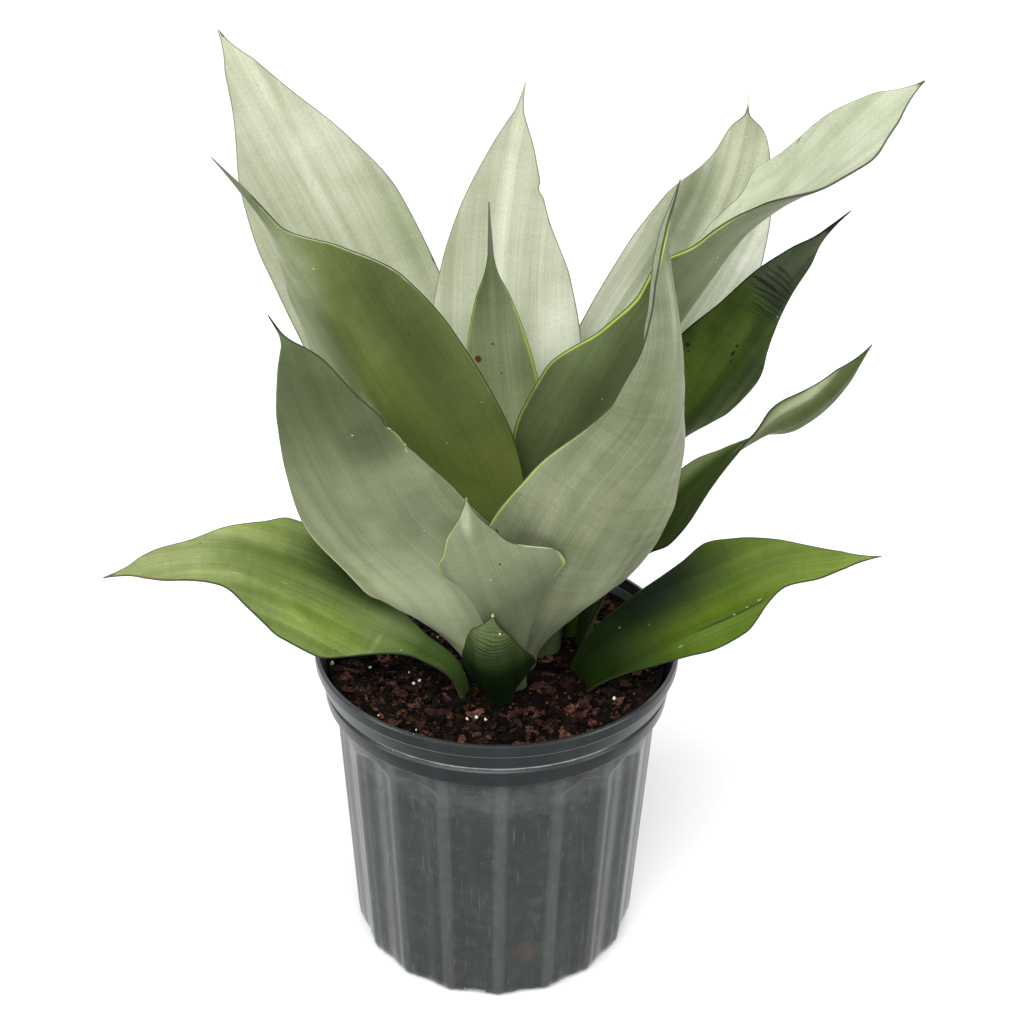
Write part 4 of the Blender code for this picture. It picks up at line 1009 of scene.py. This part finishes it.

# %% [markdown]
# ## Damp bark
# Composted bark is a dark red-brown and matte, because its broken fibres trap light. The same finish serves
# the ground, whose tone drifts in patches of about a centimetre, and the chips. Each chip carries its own
# tone, since no two pieces of bark are equally wet. Both are kept darker than the bark itself, as painted
# shade under the leaves, and the ground is near black as painted shade in the gaps between the chips.

# %% Bark finish
def bark_finish(name, dark_hex, light_hex, tone_from_chip):
    """Fibrous broken bark: a wet and a dry colour, with light and shade at about a millimetre."""
    bark, tree, shader = new_material(name)
    place = add(tree, "TexCoord").outputs["Object"]
    crumbs = add(tree, "TexNoise", {"Vector": place, "Scale": 700.0, "Detail": 6.0, "Roughness": 0.65})
    if tone_from_chip:
        tone = add(tree, "Attribute", attribute_name="chip_tone").outputs["Fac"]
    else:
        patches = add(tree, "TexNoise", {"Vector": place, "Scale": 110.0, "Detail": 3.0})
        tone = add(tree, "MapRange", {"Value": patches, "From Min": 0.35, "From Max": 0.7, "To Max": 0.6})
    colour = add(tree, "Mix", {"Factor": tone, "A": linear(dark_hex), "B": linear(light_hex)},
                 data_type="RGBA")
    shade = add(tree, "MapRange", {"Value": crumbs, "From Min": 0.38, "From Max": 0.7, "To Min": 0.08,
                                   "To Max": 2.1})
    colour = add(tree, "VectorMath", {0: colour, 1: shade}, operation="MULTIPLY")
    bump = add(tree, "Bump", {"Height": crumbs, "Strength": 0.8, "Distance": 0.6 * MM})
    fill(tree, shader, {"Base Color": colour, "Normal": bump, "Roughness": 0.82, "Specular IOR Level": 0.08})
    return bark


# near black: painted shade in the gaps between the chips
ground_finish = bark_finish("peat_with_painted_shade", "#040302", "#22130E", False)
ground_faces = closed_faces(len(rings), GROUND_STEPS)
add_mesh("mix_ground", ground, ground_faces, ground_finish, "potting_mix")

# %% [markdown]
# ## Chips, crumbs and perlite
# Bark is milled and sieved, so its chips are flat, angular and mostly 2 to 10 mm long, with finer crumbs
# between them. A chip here is a short prism with an uneven outline, tipped a little and raised a little, so
# that it lies on the ground. Perlite is glass that was popped like corn, so each grain is a small white
# lump. Every kind is one mesh.

# %% Where pieces may lie, and the shape of a chip
CHIP_COUNT = 2400
CHIP_SIZES_MM = (1.8, 10.0)
CRUMB_COUNT = 3600
CRUMB_SIZES_MM = (0.6, 2.2)
# a random share to this power is mostly low: most chips are small, and most are dark
MOSTLY_LOW = 2.8
TIPPED_RAD = 0.42
# how high the middle of a chip lies, as a share of its thickness
RAISED_SHARE = 0.3
rng = random.Random(7)


def clear_of_leaves(point, distance):
    """Whether no leaf comes within the distance of the point."""
    return all(tree.find_nearest(Vector(point), distance)[0] is None for tree in leaf_trees)


def scatter_place(radius):
    """A random spot on the mix, evenly spread."""
    a = rng.uniform(0, 2 * math.pi)
    r = radius * math.sqrt(rng.random())
    return r * math.sin(a), -r * math.cos(a)


def chip_points(long_mm, wide_mm, thick_mm, corners):
    """Bottom and top outline of a broken flake round the origin."""
    points = []
    for level in (-0.5, 0.5):
        for k in range(corners):
            a = 2 * math.pi * (k + rng.uniform(-0.28, 0.28)) / corners
            reach = rng.uniform(0.78, 1.05)
            points.append(Vector((math.cos(a) * long_mm / 2 * reach, math.sin(a) * wide_mm / 2 * reach,
                                  level * thick_mm * rng.uniform(0.7, 1.15))))
    return points


# %% Chips and crumbs
def scatter_flakes(count, sizes_mm, name, finish):
    """Many flakes in one mesh, each with its own tone, and none in a leaf or in the wall."""
    points, faces, tones = [], [], []
    for _ in range(count):
        x, y = scatter_place(MIX_RADIUS - 2.0)
        long_mm = sizes_mm[0] + (sizes_mm[1] - sizes_mm[0]) * rng.random() ** MOSTLY_LOW
        z = ground_height(x, y)
        at_wall = math.hypot(x, y) + long_mm / 2 > MIX_RADIUS
        if at_wall or not clear_of_leaves((x, y, z + 1), long_mm * 0.45 + 0.4):
            continue
        wide_mm = long_mm * rng.uniform(0.25, 0.8)
        thick_mm = max(0.5, long_mm * rng.uniform(0.12, 0.3))
        corners = rng.choice((5, 6, 7))
        pose = (Matrix.Rotation(rng.uniform(0, 2 * math.pi), 3, "Z")
                @ Matrix.Rotation(rng.gauss(0, TIPPED_RAD), 3, "X")
                @ Matrix.Rotation(rng.gauss(0, TIPPED_RAD), 3, "Y"))
        middle = Vector((x, y, z + thick_mm * RAISED_SHARE))
        faces += closed_faces(2, corners, len(points))
        points += [pose @ p + middle for p in chip_points(long_mm, wide_mm, thick_mm, corners)]
        tones += [rng.random() ** MOSTLY_LOW] * (2 * corners)
    made = add_mesh(name, [tuple(p) for p in points], faces, finish, "potting_mix")
    made.data.shade_flat()
    made.data.attributes.new("chip_tone", "FLOAT", "POINT").data.foreach_set("value", tones)
    print(name, len(faces), "faces")


# kept dark, partly as painted shade under the leaves
chip_finish = bark_finish("bark_chip", "#070403", "#5C3C30", True)
scatter_flakes(CHIP_COUNT, CHIP_SIZES_MM, "bark_chips", chip_finish)
scatter_flakes(CRUMB_COUNT, CRUMB_SIZES_MM, "bark_crumbs", chip_finish)

# %% Perlite
# x and y in mm of the grains that the photo shows; a few more are strewn where it cannot say
PERLITE_SEEN = [(-57, -11), (-53, -7), (-39, -16), (-34, -22), (-50, -50), (-12, -50), (-8, -49), (-4, -52),
                (22, -25), (52, -35), (-74, -11)]
PERLITE_STREWN = 16
perlite_finish, tree, shader = new_material("popped_perlite")
place = add(tree, "TexCoord").outputs["Object"]
pits = add(tree, "TexNoise", {"Vector": place, "Scale": 1400.0, "Detail": 4.0})
bump = add(tree, "Bump", {"Height": pits, "Strength": 0.7, "Distance": 0.4 * MM})
fill(tree, shader, {"Base Color": linear("#DEDAD2"), "Roughness": 0.9, "Normal": bump})

grains = bmesh.new()
for x, y in PERLITE_SEEN + [scatter_place(MIX_RADIUS - 4.0) for _ in range(PERLITE_STREWN)]:
    size = rng.uniform(0.35, 0.95)
    if not clear_of_leaves((x, y, ground_height(x, y)), size + 0.5):
        continue
    lump = bmesh.ops.create_icosphere(grains, subdivisions=2, radius=size)["verts"]
    shift = Vector((rng.uniform(0, 99), rng.uniform(0, 99), 0))
    for vertex in lump:
        vertex.co *= 1 + 0.6 * noise.noise(vertex.co / size * 1.6 + shift)
        vertex.co += Vector((x, y, ground_height(x, y) + size * 0.9))
grain_points = [tuple(v.co) for v in grains.verts]
grain_faces = [tuple(v.index for v in f.verts) for f in grains.faces]
grains.free()
add_mesh("perlite_grains", grain_points, grain_faces, perlite_finish, "potting_mix")
print("perlite", len(grain_faces), "faces")
